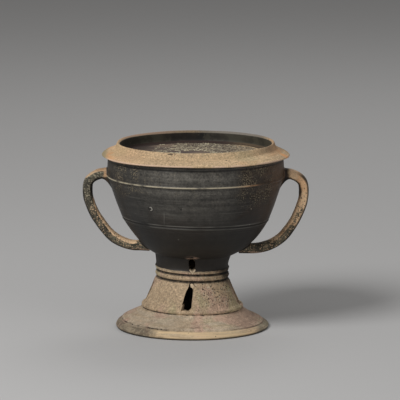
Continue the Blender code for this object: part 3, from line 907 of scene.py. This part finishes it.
def make_lid(finish):
    """The lid, its flange sagging a little at the right as it did in the kiln."""
    lid = turned_piece("lid_with_ring", lid_line(), {
        "Steps Round": 240, "Mark Depth": 0.00006, "Marks Per Metre": 480.0, "Warp": 0.00030,
        "Warp Size": 0.030, "Seed": 8.0, "Material": finish,
    })
    points = places(lid.data)
    level = points[:, 2]
    radius = np.hypot(points[:, 0], points[:, 1])
    angle = np.arctan2(points[:, 1], points[:, 0])
    edge = np.clip((radius - NECK_RADIUS) / (LID_RADIUS - NECK_RADIUS), 0, 1) ** 1.2
    right, left = (np.clip(way * np.cos(angle), 0, 1) ** 3 for way in (1, -1))
    on_top = level > COLLAR_FOOT - LID_EDGE_DROOP
    hollow = smoothstep(radius, 0.0705, 0.0755) * (1 - smoothstep(radius, 0.0775, 0.0805))
    level -= edge * (LID_DROOP_RIGHT * right + LID_DROOP_LEFT * left + LID_EDGE_WAVE * np.sin(angle * 5 + 1))
    level -= on_top * right * LID_HOLLOW_RIGHT * hollow
    tipped = smoothstep(level, COLLAR_FOOT, RING_FOOT) * smoothstep(radius, 0.0600, 0.0645)
    level += RING_TIP * tipped * points[:, 1] / RING_RADIUS
    on_floor = (level > LID_FLOOR - 0.0005) & (level < LID_FLOOR + 0.0015) & (radius < 0.0640)
    lumps = np.array([lump_height(p) if on else 0.0 for p, on in zip(points, on_floor)])
    level += lumps
    resting = (radius > SPIGOT_RADIUS + 0.0004) & (radius < NECK_RADIUS) & (level < LID_SEAT + 0.0008)
    level[resting] = np.maximum(level[resting], LID_SEAT - 0.0001)
    set_places(lid.data, points)
    number_layer(lid.data, "crusted", np.clip(lumps / 0.0006, 0, 1))
    smooth_but_sharp(lid.data)
    return lid


def held(value):
    """A number kept between 0 and 1."""
    return min(1.0, max(0.0, value))


def lump_height(point):
    """How high melted ash stands on the lid's floor: none in the middle or at the edge, most at the right."""
    x, y, _ = point
    out = math.hypot(x, y)
    ring = held((out - 0.010) / 0.010) * held((0.0630 - out) / 0.005)
    spread = noise.fractal(Vector((x * 38 + 7, y * 38, 1.0)), 0.9, 2.2, 3) * 0.5 + 0.35 + x * 7
    grit = noise.fractal(Vector((x * 420, y * 420, 5.0)), 0.8, 2.1, 3) * 0.5 + 0.5
    return ASH_THICKNESS * ring * held(spread * 1.6) * max(0.0, grit)


def make_bead(place, facing, width, material):
    """A drop of melted ash that dried as an open ring on the wall: closed, and partly sunk in it."""
    around = Vector(facing).normalized()
    side = around.cross(Vector((0, 0, 1))).normalized()
    up = side.cross(around)
    steps, sides, opening, step_angle = 14, 8, 60, 16.5
    mesh = bmesh.new()
    rings = []
    for i in range(steps + 1):
        turn = math.radians(opening + i * step_angle)
        thick = width * (0.16 + 0.10 * math.sin(math.pi * i / steps))
        spine = side * math.cos(turn) + up * math.sin(turn)
        middle = Vector(place) + spine * (width / 2)
        rings.append([
            mesh.verts.new(middle + spine * (thick * math.cos(roll)) + around * (thick * math.sin(roll)))
            for roll in (math.tau * k / sides for k in range(sides))
        ])
    skin_rings(mesh, rings)
    return object_from(mesh, "bead", material)


# Finishes

CHARCOAL = (0.036, 0.033, 0.028, 1)
# Painted sheen: a lighter grey that stands in for the bowl's reflection
PAINTED_SHEEN = (0.089, 0.082, 0.070, 1)
LINE_GREY = (0.165, 0.158, 0.138, 1)
BROWN_BLACK = (0.034, 0.022, 0.014, 1)
RUST_BROWN = (0.085, 0.046, 0.024, 1)
# Near black: soot and specks, and also painted shade and shadow
SOOT_AND_SHADE = (0.007, 0.006, 0.005, 1)
OLIVE_ASH = (0.205, 0.180, 0.120, 1)
ASH_DUST = (0.255, 0.208, 0.135, 1)
PALE_ASH = (0.520, 0.450, 0.320, 1)
CUT_CLAY = (0.920, 0.740, 0.510, 1)
TAN = (0.430, 0.315, 0.200, 1)
PINK_CLAY = (0.440, 0.295, 0.215, 1)
OLIVE_CLAY = (0.370, 0.310, 0.180, 1)
GREY_CLAY = (0.450, 0.370, 0.275, 1)
OCHRE = (0.700, 0.520, 0.310, 1)
FLAME = (0.560, 0.300, 0.140, 1)
SPECK = (0.060, 0.042, 0.028, 1)
LID_TAN = (0.570, 0.410, 0.245, 1)
STRAP_TAN = (0.740, 0.510, 0.310, 1)
BACK_GREY = (0.230, 0.210, 0.185, 1)
EMBER = (0.720, 0.370, 0.170, 1)
DARK_OLIVE = (0.050, 0.045, 0.031, 1)
PURPLE_GREY = (0.120, 0.086, 0.072, 1)
CRUST_PALE = (0.640, 0.570, 0.420, 1)
# The drop of ash's pale: partly its ash, partly a painted highlight
BEAD_ASH_HIGHLIGHT = (0.290, 0.275, 0.240, 1)
PINK_EDGE = (0.700, 0.500, 0.370, 1)
DARK_PLUM = (0.040, 0.024, 0.020, 1)

# Marks on the bowl's front: east, level, radius, colour, strength
BOWL_SPOTS = (
    (-0.0122, 0.1127, 0.0012, SOOT_AND_SHADE, 0.8), (-0.0108, 0.1135, 0.0007, LINE_GREY, 0.7),
    (0.0457, 0.0968, 0.0008, LINE_GREY, 0.9), (-0.0145, 0.0845, 0.0008, LINE_GREY, 0.5),
    (0.0470, 0.1110, 0.0006, PALE_ASH, 0.7),
)
# Marks on the lid's top: east, north, radius, colour, strength
LID_SPOTS = (
    (0.0762, -0.0190, 0.0058, EMBER, 1.0), (0.0705, -0.0120, 0.0040, FLAME, 0.6),
    (-0.0730, -0.0200, 0.0046, FLAME, 0.7), (-0.0589, -0.0445, 0.0008, SOOT_AND_SHADE, 1.0),
    (0.0257, -0.0670, 0.0009, SOOT_AND_SHADE, 1.0),
)


def finish(name, paint):
    """A fired clay material: paint gives its colour, roughness, and the height of its grain in metres."""
    material = bpy.data.materials.new(name)
    material.use_nodes = True
    tree = material.node_tree
    tree.nodes.clear()
    start = Wire(tree)
    color, roughness, height = paint(start.node("ShaderNodeTexCoord", None, None, 3))
    bump = start.node("ShaderNodeBump", None, {"Strength": 1, "Distance": 1, "Height": height})
    shader = start.node("ShaderNodeBsdfPrincipled", None,
                        {"Base Color": color, "Roughness": roughness, "Normal": bump, "IOR": 1.42})
    start.node("ShaderNodeOutputMaterial", None, {"Surface": shader})
    return material


def number_of(place, name):
    """One of the numbers that a piece keeps at its points or faces."""
    return place.node("ShaderNodeAttribute", {"attribute_name": name}, None, 2)


def dotted(place, ragged, *sorts):
    """Dots of several sorts: how close they lie, how wide they are, and how many of them there are."""
    first, *others = (place.specks(*sort, ragged) for sort in sorts)
    return sum(others, first)


def peppered(color, place, ragged, amount, pale):
    """A colour strewn with the dark grains and pin holes of coarse clay, and with some pale grains."""
    fine = dotted(place, ragged, (560, 0.44, 0.36), (880, 0.44, 0.36))
    coarse = place.specks(330, 0.28, 0.24, ragged)
    clusters = place.grain(75, 3, 0.65).spread(0.40, 0.60, 0.30, 1.30)
    return color.layered(
        (PALE_ASH, place.specks(500, 0.42, 0.34, ragged) * pale),
        (SPECK, (fine * 0.85 + coarse) * clusters * amount),
    )


def bare_clay(place, at, ragged):
    """The foot's unglazed tan clay, with painted light and painted shade on its cone and flare, and its fine
    grain.
    """
    east, _, level = at
    clouds = place.grain(30, 3, 0.55, 0.6)
    swept = streaks(at, 16, 420, 4, 0.65, 0.3)
    on_flare = level.rise(0.0180, 0.0166)
    color = (clouds.rise(0.48, 0.60) * 0.8).between(TAN, PINK_CLAY).layered(
        (OLIVE_CLAY, place.grain(24, 3, 0.6, 0.4).rise(0.50, 0.62) * 0.8),
        (GREY_CLAY, on_flare * swept.spread(0.40, 0.58, 0.1, 0.80)),
        (PINK_CLAY, on_flare * place.grain(34, 3, 0.6, 0.5).rise(0.50, 0.62) * 0.85),
    )
    # Painted light: the flare lighter across its middle and the cone lighter from left of middle rightwards;
    # the flare also darker along some of its streaks
    streaks_and_painted_light = east.band(0.014, 0.030) * 0.28 - swept.rise(0.50, 0.36) * 0.24
    color = color.scaled(0.94 + (1 - on_flare) * east.rise(-0.030, -0.010) * 0.10 + on_flare * streaks_and_painted_light)
    scuffs = streaks(at, 60, 900).rise(0.60, 0.68) * level.rise(0.0125, 0.0090)
    fine = place.grain(620, 4, 0.8)
    mottle = place.grain(230, 3, 0.7)
    grit = (fine - 0.5) * (2.6 - on_flare * 1.2) + 1
    color = color.layered((SPECK, on_flare * scuffs * 0.6))
    color = color.scaled(grit * mottle.spread(0.32, 0.68, 0.80, 1.18))
    right = (east + clouds * 0.02).rise(0.004, 0.030) * level.rise(0.018, 0.032)
    color = peppered(color, place, ragged, 0.50 - on_flare * 0.18 + right * 1.10, 0.40 + right * 1.40)
    # Painted shade: the cone's right side darkened towards brown-black, starting further right lower down
    shade_start = (0.0480 - level) * 0.75 + 0.0170
    painted_shade_side = (east - shade_start).wavered(mottle, 0.010).rise(0, 0.0095) * level.rise(0.021, 0.036)
    return color.layered((BROWN_BLACK, painted_shade_side * level.spread(0.026, 0.044, 0.50, 0.95))), fine


def slip(place, at, ragged):
    """The bowl's burnished dark slip, with a painted sheen across its upper middle and painted shade on its
    sides and lower part: its colour, its roughness and the height of its grain.
    """
    east, north, level = at
    turned = streaks(at, 6, 1150, 4, 0.65)
    bands = streaks(at, 4, 210)
    clouds = place.grain(21, 4, 0.55, 0.5)
    mottle = place.grain(150, 4, 0.7)
    fine = place.grain(540, 3, 0.75)
    # Painted sheen: lighter grey across the upper middle of the bowl
    grey = (bands * 0.7 + mottle * 0.3).wavered(clouds, 0.35).rise(0.32, 0.62) * level.rise(0.088, 0.116)
    grey = grey * abs(east + 0.010).rise(0.058, 0.026)
    browned = (abs(east) + east * 0.55).wavered(clouds, 0.09).rise(0.046, 0.084)
    browned = browned + clouds.rise(0.54, 0.66) * 0.40
    rusty = east.wavered(clouds, 0.06).rise(0.046, 0.066) * level.rise(0.090, 0.112)
    # Painted shade: the bowl's left side darker, more so low down, and its right side darker below the neck
    left_painted_shade = east.rise(-0.020, -0.046) * (0.36 + level.rise(0.126, 0.104) * 0.12)
    right_painted_shade = east.rise(0.022, 0.044) * level.rise(0.134, 0.116) * 0.36
    color = (grey * 0.85).between(CHARCOAL, PAINTED_SHEEN).layered(
        (BROWN_BLACK, browned + level.rise(0.066, 0.060) * 0.5),
        (RUST_BROWN, rusty * clouds.spread(0.35, 0.60, 0.4, 1) * 0.75),
    ).scaled(
        turned.spread(0.25, 0.75, 0.78, 1.26) * bands.spread(0.3, 0.7, 0.88, 1.14),
        (1 + (fine - 0.5) * (0.7 + level.rise(0.094, 0.134) * 2.2)) * mottle.spread(0.30, 0.70, 0.82, 1.20),
        # Painted shade: darker towards the bottom of the bowl and lighter at the neck; also a little darker
        # in a band round the middle
        level.spread(0.082, 0.142, 0.50, 1.34) * level.band(0.118, 0.016).spread(0, 1, 1, 0.87),
        east.spread(0.044, 0.066, 1, 1.12),
        1 - (left_painted_shade + right_painted_shade),
    )
    scratches = streaks(at, 26, 2300, 2, 0.5).rise(0.60, 0.70) * place.grain(60, 2, 0.5).rise(0.42, 0.58)
    cloudy = east.wavered(clouds, 0.02)
    patchy = place.grain(85, 4, 0.65, 0.3)
    sides = cloudy.band(-0.055, 0.017) * level.rise(0.116, 0.134) * 0.75
    sides = sides + cloudy.band(0.050, 0.019) * level.rise(0.108, 0.124)
    dusting = patchy.rise(0.42, 0.54) * sides + patchy.rise(0.52, 0.62) * level.rise(0.108, 0.130) * 0.22
    dots = dotted(place, ragged, (780, 0.46, 0.52), (1250, 0.46, 0.50))
    color = color.layered(
        (LINE_GREY, scratches * level.rise(0.088, 0.105) * 0.55),
        (ASH_DUST, dots * dusting * 1.2),
        (SOOT_AND_SHADE, place.specks(520, 0.42, 0.44, ragged) * dusting * 0.95),
    )
    for spot_east, spot_level, size, mark, strength in BOWL_SPOTS:
        far = distance(east - spot_east, level - spot_level)
        color = color.layered((mark, far.rise(size, size * 0.4) * north.rise(-0.005, -0.015) * strength))
    scratch = east.band(-0.0265, 0.0007) * level.rise(0.094, 0.100) * level.rise(0.130, 0.124)
    scratch = scratch * place.grain(70, 2, 0.5).rise(0.40, 0.60) * north.rise(0, -0.02)
    color = color.layered((LINE_GREY, scratch * 0.45))
    rough = turned.spread(0.2, 0.8, 0.42, 0.58) + dusting * 0.2 + level.rise(0.104, 0.086) * 0.10
    return color, rough, turned * 0.00002 + dots * dusting * 0.00006 + mottle * 0.00003


def strap_clay(place, at, fine, ragged):
    """The straps: dark olive ash peppered with pale grains, and bare tan clay where the flame licked them,
    with painted light on the right strap's tan and painted shade along their edges.
    Gives the colour and the pale grains."""
    east, _, level = at
    right = east.rise(-0.001, 0.001)
    across = number_of(place, "outer")
    patches = place.grain(95, 4, 0.65, 0.4)
    pale_dots = dotted(place, ragged, (600, 0.46, 0.52), (980, 0.46, 0.50))
    dark_dots = dotted(place, ragged, (420, 0.38, 0.20), (760, 0.42, 0.22))
    dark = (patches.rise(0.42, 0.60) * 0.55).between(DARK_OLIVE, OLIVE_ASH)
    dark = dark.scaled(fine.spread(0.30, 0.70, 0.50, 1.55)).layered(
        (level.rise(0.112, 0.100).between(PALE_ASH, STRAP_TAN), pale_dots * patches.rise(0.30, 0.46) * 0.85),
        (SOOT_AND_SHADE, place.specks(520, 0.44, 0.40, ragged) * 0.7),
    )
    tan = (place.grain(46).rise(0.46, 0.60) * 0.5).between(STRAP_TAN, FLAME)
    tan = tan.scaled(fine.spread(0.30, 0.70, 0.80, 1.46))
    tan = tan.layered((SPECK, dark_dots * patches.spread(0.40, 0.60, 1, 0.35)))
    tan = tan.scaled(1 - east.rise(0, -0.01) * level.rise(0.115, 0.125) * 0.36)
    tan = tan.layered((SOOT_AND_SHADE, place.specks(480, 0.46, 0.50, ragged) * level.rise(0.1150, 0.1000) * 0.60))
    # Painted light: the right strap's tan lighter along its middle length
    tan = tan.scaled(1 + right * level.rise(0.084, 0.100) * level.rise(0.136, 0.124) * 0.24)

    centre = across.band(0.05, 0.85) * level.rise(0.1130, 0.1000)
    licked_right = level.rise(0.1030, 0.1130) * 0.40 + level.rise(0.0740, 0.0940) * 0.64 - centre * 0.26
    above_arch = (number_of(place, "upward") - level.rise(0.112, 0.122) * 0.34).rise(0.06, 0.42)
    licked = (
        right * licked_right * east.rise(0.0760, 0.0800)
        + (1 - right) * level.rise(0.1180, 0.1225) * east.rise(-0.0830, -0.0765) * 0.80
        + (1 - right) * east.band(-0.0895, 0.0050) * level.band(0.1250, 0.0050) * 0.35
        + above_arch * (1 - right * level.rise(0.080, 0.074)) * 0.95
        - level.rise(0.0850, 0.0800) * abs(east).wavered(patches, 0.01).rise(0.0530, 0.0465) * 1.5
    )
    peppery = 0.5 + right * level.rise(0.1160, 0.1080) * 1.1
    licked = licked.wavered(patches, 0.8 - right * 0.4).wavered(place.grain(420, 3, 0.75), peppery)
    sooty = right * east.wavered(patches, 0.006).rise(0.0830, 0.0775) * level.rise(0.112, 0.122)
    # Painted shade: dark along the straps' outer edges and under the inner edges of their arches
    outer = across.wavered(patches, 0.5).wavered(fine, 0.3)
    painted_edge_shade = outer.rise(0.46, 0.82) * level.rise(0.122 + right * 0.014, 0.117 + right * 0.014)
    painted_edge_shade = painted_edge_shade + outer.rise(-0.34, -0.72) * level.rise(0.110, 0.118)
    color = licked.rise(0.38, 0.60).between(dark, tan)
    return color.layered((BROWN_BLACK, sooty), (SOOT_AND_SHADE, (painted_edge_shade * 0.92).math("MINIMUM", 0.92))), pale_dots


def ridge_wear(dark, place, at):
    """The bowl's slip, worn pale along its ridge and lines, dark in its grooves with soil and painted shade,
    with a painted shadow under the lid, and the drop of ash with a painted highlight.
    """
    east, _, level = at
    worn_ridge = level.band(NECK_FOOT, 0.0009) * place.grain(60).rise(0.32, 0.52)
    lines = level.band(0.0969, 0.0008) + level.band(0.0944, 0.0007) * 0.6 + level.band(0.1476, 0.0007) * 0.5
    groove = level.band(BELLY_LINE, 0.0007) * 0.6 + level.band(0.1462, 0.0010) * 0.7
    bead = number_of(place, "bead")
    return dark.layered(
        (east.rise(0.030, 0.052).between(PALE_ASH, FLAME),
         worn_ridge * (0.80 - east.rise(0.044, 0.058) * 0.78)),
        (LINE_GREY, lines * place.grain(45, 2, 0.5).rise(0.34, 0.60) * 0.7),
        # Soil and painted shade in the grooves, and a painted shadow on the neck under the lid's flange
        (SOOT_AND_SHADE, groove + level.rise(0.1472, 0.1492) * 0.75),
        # The drop of ash: dark round it, and pale on its ring, partly its ash and partly a painted highlight
        (SOOT_AND_SHADE, bead.rise(0.2, 0.5) * 0.8),
        (BEAD_ASH_HIGHLIGHT, bead.rise(0.6, 0.9) * 0.9),
    )


def foot_marks(clay, place, at, ragged):
    """The foot's clay with its ash-dulled and gold band, its chips, dirt and painted shade in its grooves, a
    painted highlight on the waist's top ridge and a painted shadow along its bottom edge.
    """
    east, north, level = at
    on_band = (level + ragged * 0.4).rise(0.0068, 0.0060)
    gold = on_band * east.wavered(place.grain(110), 0.04).rise(-0.042, -0.024)
    gold = gold * (east + ragged * 4).rise(0.056, 0.049) * north.rise(-0.018, -0.030)
    dull = place.grain(60).rise(0.30, 0.52) * (0.75 - east.rise(-0.030, -0.040) * 0.30)
    rough_left = on_band * east.rise(-0.024, -0.034) * place.grain(230, 3, 0.7).rise(0.40, 0.54)
    chips = place.grain(150, 3, 0.65).rise(0.50, 0.58) * east.rise(-0.018, -0.030)
    seam = place.grain(150).rise(0.44, 0.56) * 0.8 + east.rise(-0.020, -0.034) * 0.6 + 0.10
    # Dirt and painted shade in the grooves
    soil_and_shade = (
        level.band(0.0496, 0.0017) + level.band(0.0438, 0.0018)
        + level.band(FLARE_TOP, 0.0008) * seam.math("MINIMUM", 0.95)
        + level.band(0.0072, 0.0008) * (chips * 0.5 + east.rise(-0.012, -0.030) * 0.45)
        + level.band(0.0069, 0.0007) * east.rise(0.034, 0.046) * 0.45
    )
    return clay.layered(
        (OLIVE_ASH, on_band * (1 - gold) * dull),
        (SPECK, rough_left * 0.6),
        (OCHRE, gold * streaks(at, 40, 700).spread(0.40, 0.60, 0.35, 1)),
        (SPECK, gold * place.specks(300, 0.20, 0.16) * 0.8),
        (SOOT_AND_SHADE, soil_and_shade * place.grain(300, 2).spread(0.3, 0.6, 0.75, 1)),
        # Painted highlight: a pale line along the waist's top ridge, at the left and middle only
        (PALE_ASH, (level + ragged).band(0.0523, 0.0010) * east.rise(0.018, 0.004) * 0.35),
        # Painted shadow: darker along the foot's bottom edge, where it meets the floor
        (SOOT_AND_SHADE, level.rise(0.0022, 0.0006) * 0.85),
    )


def cup_paint(place):
    """Dark slip over the bowl, bare tan clay below the waist, ash and flame marks on the straps."""
    east, north, _ = place.xyz()
    level = number_of(place, "level")
    at = east, north, level
    ragged_dots = place.grain(1500, 2)
    ragged = (place.grain(210) - 0.5) * 0.0012
    clay, fine = bare_clay(place, at, ragged_dots)
    dark, dark_rough, dark_height = slip(place, at, ragged_dots)
    strap_color, speckled = strap_clay(place, at, fine, ragged_dots)
    bowl = (level + ragged).rise(0.0527, 0.0533)
    body = bowl.between(foot_marks(clay, place, at, ragged), ridge_wear(dark, place, at))
    body_rough = bowl * dark_rough + (1 - bowl) * fine.spread(0.2, 0.8, 0.78, 0.95)
    strapped = number_of(place, "strap").wavered(place.grain(160), 0.6).rise(0.30, 0.60)

    front = north.rise(0, -0.01)
    scraped = level.spread(0.0508, 0.0540, 0.0003, 0.0024) - abs(east + 0.0027)
    in_scrape = level.rise(0.0504, 0.0509) * level.rise(0.0552, 0.0548) * front
    tab_far = distance((east + 0.0034) / 0.0020, (level - 0.0408) / 0.0021)
    cut, hidden = number_of(place, "cut"), number_of(place, "hidden")
    # Painted shade: the hollow foot's inner side is tan clay darkened
    under = place.grain(40).rise(0.40, 0.62).between(TAN, SPECK)
    under = under.scaled(fine.spread(0.25, 0.75, 0.40, 0.75))
    burr = number_of(place, "burr") * streaks(at, 130, 800, 3, 0.7).rise(0.50, 0.58)
    color = strapped.between(body, strap_color).layered(
        (SPECK, scraped.rise(-0.0006, -0.0003) * in_scrape * 0.8),
        (CUT_CLAY, scraped.rise(-0.0003, 0.0001) * in_scrape * 0.60),
        (CUT_CLAY, tab_far.rise(1, 0.75) * front * 0.35),
        (SOOT_AND_SHADE, tab_far.band(1.10, 0.34) * level.rise(0.0405, 0.0415) * front * 0.85),
        (CUT_CLAY, cut * 0.95),
        (level.rise(0.070, 0.074).between(under, BROWN_BLACK), hidden),
        (PINK_CLAY, burr * 0.75),
    )
    rough = body_rough * (1 - strapped) + strapped * 0.72
    rough = rough + (0.85 - rough) * (hidden + cut).math("MINIMUM", 1)
    height = bowl * dark_height + (1 - bowl) * fine * 0.00012
    return color, rough, height * (1 - strapped) + strapped * (fine * 0.00008 + speckled * 0.00008)


def lid_clay(place, at, out, fine, clouds, holes):
    """The lid's tan clay with its flame marks, its spots and the grey of its back, with painted light across
    its flange and painted shade on the ring's outer wall.
    """
    east, north, up = at
    turned = streaks((east, north, out - up), 24, 700, 4)
    flame = out.rise(0.0745, 0.0800) * place.grain(21, 2, 0.5).rise(0.50, 0.64) * 0.6
    flame = flame + abs(east).rise(0.068, 0.076) * out.rise(0.0700, 0.0760) * place.grain(70).rise(0.46, 0.60)
    tan = (clouds.rise(0.50, 0.66) * 0.55).between(LID_TAN, TAN)
    tan = tan.layered((OLIVE_CLAY, place.grain(22, 2, 0.5).rise(0.52, 0.66) * 0.5)).scaled(
        fine.spread(0.30, 0.70, 0.52, 1.44) * place.grain(240, 3, 0.7).spread(0.32, 0.68, 0.92, 1.08),
        turned.spread(0.30, 0.70, 0.88, 1.12),
    ).layered((FLAME, flame.math("MINIMUM", 1) * 0.75))
    tan = peppered(tan, place, place.grain(1500, 2), 0.46, 0.35)
    # Painted light: the flange lighter at its far left and towards its right
    painted_side_light = east.spread(-0.066, -0.040, 1.11, 0.91) * east.spread(-0.010, 0.040, 1.02, 1.27)
    tan = tan.layered((SOOT_AND_SHADE, holes), (FLAME, east.rise(-0.030, -0.062) * 0.22)).scaled(painted_side_light).layered(
        (PINK_EDGE, out.rise(0.0797, 0.0806) * place.grain(70, 2, 0.5).rise(0.30, 0.50) * 0.7),
        (OLIVE_CLAY, east.rise(-0.0735, -0.0785) * 0.9),
    ).scaled(1 - east.rise(-0.0735, -0.0790) * 0.18).layered(
        (OLIVE_CLAY, east.rise(0.070, 0.074) * north.rise(0.006, 0.016) * out.rise(0.0715, 0.0735) * 0.8),
        (FLAME, east.rise(0.058, 0.067) * out.rise(0.0755, 0.0725) * 0.45),
    ).scaled(1 - east.rise(0.060, 0.068) * 0.10)
    # Painted shade: the ring's outer wall at the front right darkened towards purple-grey
    ring_wall = out.rise(0.0735, 0.0690) * up.rise(0.1530, 0.1575)
    shadowed = place.grain(50).rise(0.34, 0.62) * north.rise(0.010, -0.006)
    tan = tan.layered((PURPLE_GREY, ring_wall * east.band(0.066, 0.018) * shadowed * 0.40))
    for spot_east, spot_north, size, color, strength in LID_SPOTS:
        far = distance(east - spot_east, north - spot_north).wavered(fine, size * 0.5)
        tan = tan.layered((color, far.rise(size, size * 0.5) * strength))
    scar = ((east + 0.0211) / 0.0028) ** 2 + ((up - 0.1592) / 0.0008) ** 2
    at_back = north.rise(0.004, 0.040) * up.rise(RING_FOOT + 0.001, RIM - 0.001)
    return tan.layered(
        (SPECK, (scar + fine).rise(1.5, 0.8) * north.rise(-0.01, -0.02) * 0.9),
        (PINK_CLAY, at_back * east.rise(0, -0.030) * 0.8),
    ).scaled(1 - at_back * east.spread(-0.050, 0.010, 0.12, 0.66)).layered(
        (BACK_GREY, north.rise(0.010, 0.050) * (east + clouds * 0.04).rise(0.018, 0.050) * 0.8),
    )


def lid_floor(place, at, out, gritty, clouds):
    """The floor inside the ring: ash and a purple bloom, tan at the right, with painted light at the right
    and painted shadow at the left and along the edge.
    """
    east, north, _ = at
    ash = gritty.rise(0.48, 0.62).between(SPECK, PALE_ASH)
    border = out.rise(0.0560, 0.0595) * east.wavered(clouds, 0.03).rise(0.046, 0.022)
    crusted = number_of(place, "crusted") * out.rise(0.0590, 0.0560)
    floor = (clouds.rise(0.42, 0.62) * 0.35).between(PURPLE_GREY, TAN)
    # Painted light: the floor lighter at the right, short of its edge
    lit_right = 1 + east.rise(0.026, 0.042) * out.rise(0.0610, 0.0570) * 0.90
    return floor.layered((LID_TAN, east.rise(0.020, 0.040) * 0.95)).scaled(
        lit_right, gritty.spread(0.28, 0.72, 0.55, 1.30),
    ).layered(
        # Painted shadow: the floor dark at the left, dark along its back edge by the ring's wall, and dark
        # plum along its edge at the left and middle
        (BROWN_BLACK, (east + clouds * 0.02).rise(-0.020, -0.040) * 0.92),
        (BROWN_BLACK, (out + clouds * 0.003).rise(0.0585, 0.0625) * north.rise(0, 0.014) * 0.85),
        (DARK_PLUM, border * 0.9),
        (ash, crusted.rise(0.08, 0.45) * 0.9),
        (PALE_ASH, out.band(0.0275, 0.0008) * east.rise(-0.032, -0.020) * 0.6),
    )


def lid_paint(place):
    """Warm tan above, flame marks at the edge, dark inside the ring, ash and a purple bloom on its floor."""
    at = east, north, up = place.xyz()
    out = distance(east, north)
    fine = place.grain(640, 4, 0.78)
    gritty = place.grain(560, 4, 0.78)
    clouds = place.grain(26, 3, 0.55, 0.5)
    holes = place.specks(115, 0.085, 0.22)
    tan = lid_clay(place, at, out, fine, clouds, holes)
    in_ring = out.rise(0.0660, 0.0654)
    grimy = place.grain(120, 3, 0.7).rise(0.44, 0.60) * 0.6 + abs(east + 0.006).rise(0.010, 0.045) * 0.6
    bare_lip = (up + clouds * 0.0012).rise(RIM - LIP_FALL * 0.55, RIM - LIP_FALL * 0.25)
    wall = place.grain(30).rise(0.40, 0.70).between(SOOT_AND_SHADE, BROWN_BLACK).layered(
        (DARK_OLIVE, grimy), (tan, bare_lip * 0.9),
    )
    low = (up + clouds * 0.002).rise(LID_FLOOR + 0.0032, LID_FLOOR + 0.0020)
    under = up.rise(LID_SEAT + 0.0003, LID_SEAT - 0.0002) * out.rise(0.0640, 0.0655)
    under = (under + up.rise(0.1482, 0.1478)).math("MINIMUM", 1)
    inside = low.between(wall, lid_floor(place, at, out, gritty, clouds))
    color = in_ring.between(tan, inside).layered(
        (clouds.between(TAN, BROWN_BLACK), under * out.rise(0.0782, 0.0770)),
    )
    rough = 0.78 + fine * 0.15 - in_ring * (1 - low) * 0.15
    return color, rough, fine * 0.00010 - holes * 0.0005 + in_ring * low * gritty * 0.0003


def crust_paint(place):
    """Pale grains of ash, some of them stained."""
    fine = place.grain(1300)
    color = place.grain(480, 3, 0.7).rise(0.38, 0.60).between(OLIVE_CLAY, CRUST_PALE)
    color = color.layered((SPECK, place.grain(300, 2).rise(0.48, 0.58) * 0.9))
    return color, fine.spread(0.2, 0.8, 0.75, 0.95), fine * 0.00005


# The pieces

cup = make_cup(finish("fired_slip_and_clay", cup_paint))
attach(cup, "root")
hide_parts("cup")

lid = make_lid(finish("ash_flecked_lid_clay", lid_paint))
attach(lid, "root")
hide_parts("lid")

crust = grown("lid_ash_crust", crust_tree(), line_mesh("crust_seed", [(0, 0, 0), (0, 0, 0.001)]), {
    "Grains": 8800, "Inner Radius": 0.0130, "Outer Radius": 0.0588, "Level": LID_FLOOR,
    "Grain Size": 0.00066, "Bare Share": 0.47, "Seed": 21, "Material": finish("melted_ash", crust_paint),
})
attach(crust, "root")


# The studio

FLOOR_GREY = (0.53, 0.525, 0.52, 1)
FLOOR_REACH = 30.0
FLOOR_LEVEL = -0.0001
SURROUND = (0.83, 0.82, 0.81, 1)
LIGHTS_AIM = (0, 0, 0.08)
CAMERA_PLACE = (0.0037, -2.770, 0.556)
CAMERA_AIM = (0.0037, 0.0, 0.110)
CAMERA_LENS = 293.4


def make_floor():
    mesh = bpy.data.meshes.new("studio_floor")
    sides = ((-1, -1), (1, -1), (1, 1), (-1, 1))
    corners = [(x * FLOOR_REACH, y * FLOOR_REACH, FLOOR_LEVEL) for x, y in sides]
    mesh.from_pydata(corners, [], [(0, 1, 2, 3)])
    material = bpy.data.materials.new("pale_floor")
    material.use_nodes = True
    shader = material.node_tree.nodes["Principled BSDF"]
    shader.inputs["Base Color"].default_value = FLOOR_GREY
    shader.inputs["Roughness"].default_value = 0.9
    mesh.materials.append(material)
    floor = added("studio_floor", mesh)


def aimed(name, data, place, target):
    """A lamp or camera that looks from its place at a target."""
    holder = added(name, data)
    holder.location = place
    holder.rotation_euler = (Vector(target) - Vector(place)).to_track_quat("-Z", "Y").to_euler()
    return holder


def soft_light(name, place, size, power):
    lamp = bpy.data.lights.new(name, "AREA")
    lamp.shape = "DISK"
    lamp.size = size
    lamp.energy = power
    aimed(name, lamp, place, LIGHTS_AIM)


make_floor()
soft_light("key_light", (-1.15, -1.25, 1.55), 1.0, 34.0)
soft_light("fill_light", (1.6, -1.6, 0.9), 1.6, 5.5)
soft_light("back_light", (0.4, 1.4, 1.7), 1.2, 6.0)

world = bpy.data.worlds.new("pale_surround")
world.use_nodes = True
surround = world.node_tree.nodes["Background"]
surround.inputs["Color"].default_value = SURROUND
surround.inputs["Strength"].default_value = 0.25
bpy.context.scene.world = world
bpy.context.scene.view_settings.view_transform = "Standard"

lens = bpy.data.cameras.new("photo_camera")
lens.lens = CAMERA_LENS
lens.sensor_width = 36.0
lens.clip_end = 100.0
bpy.context.scene.camera = aimed("photo_camera", lens, CAMERA_PLACE, CAMERA_AIM)
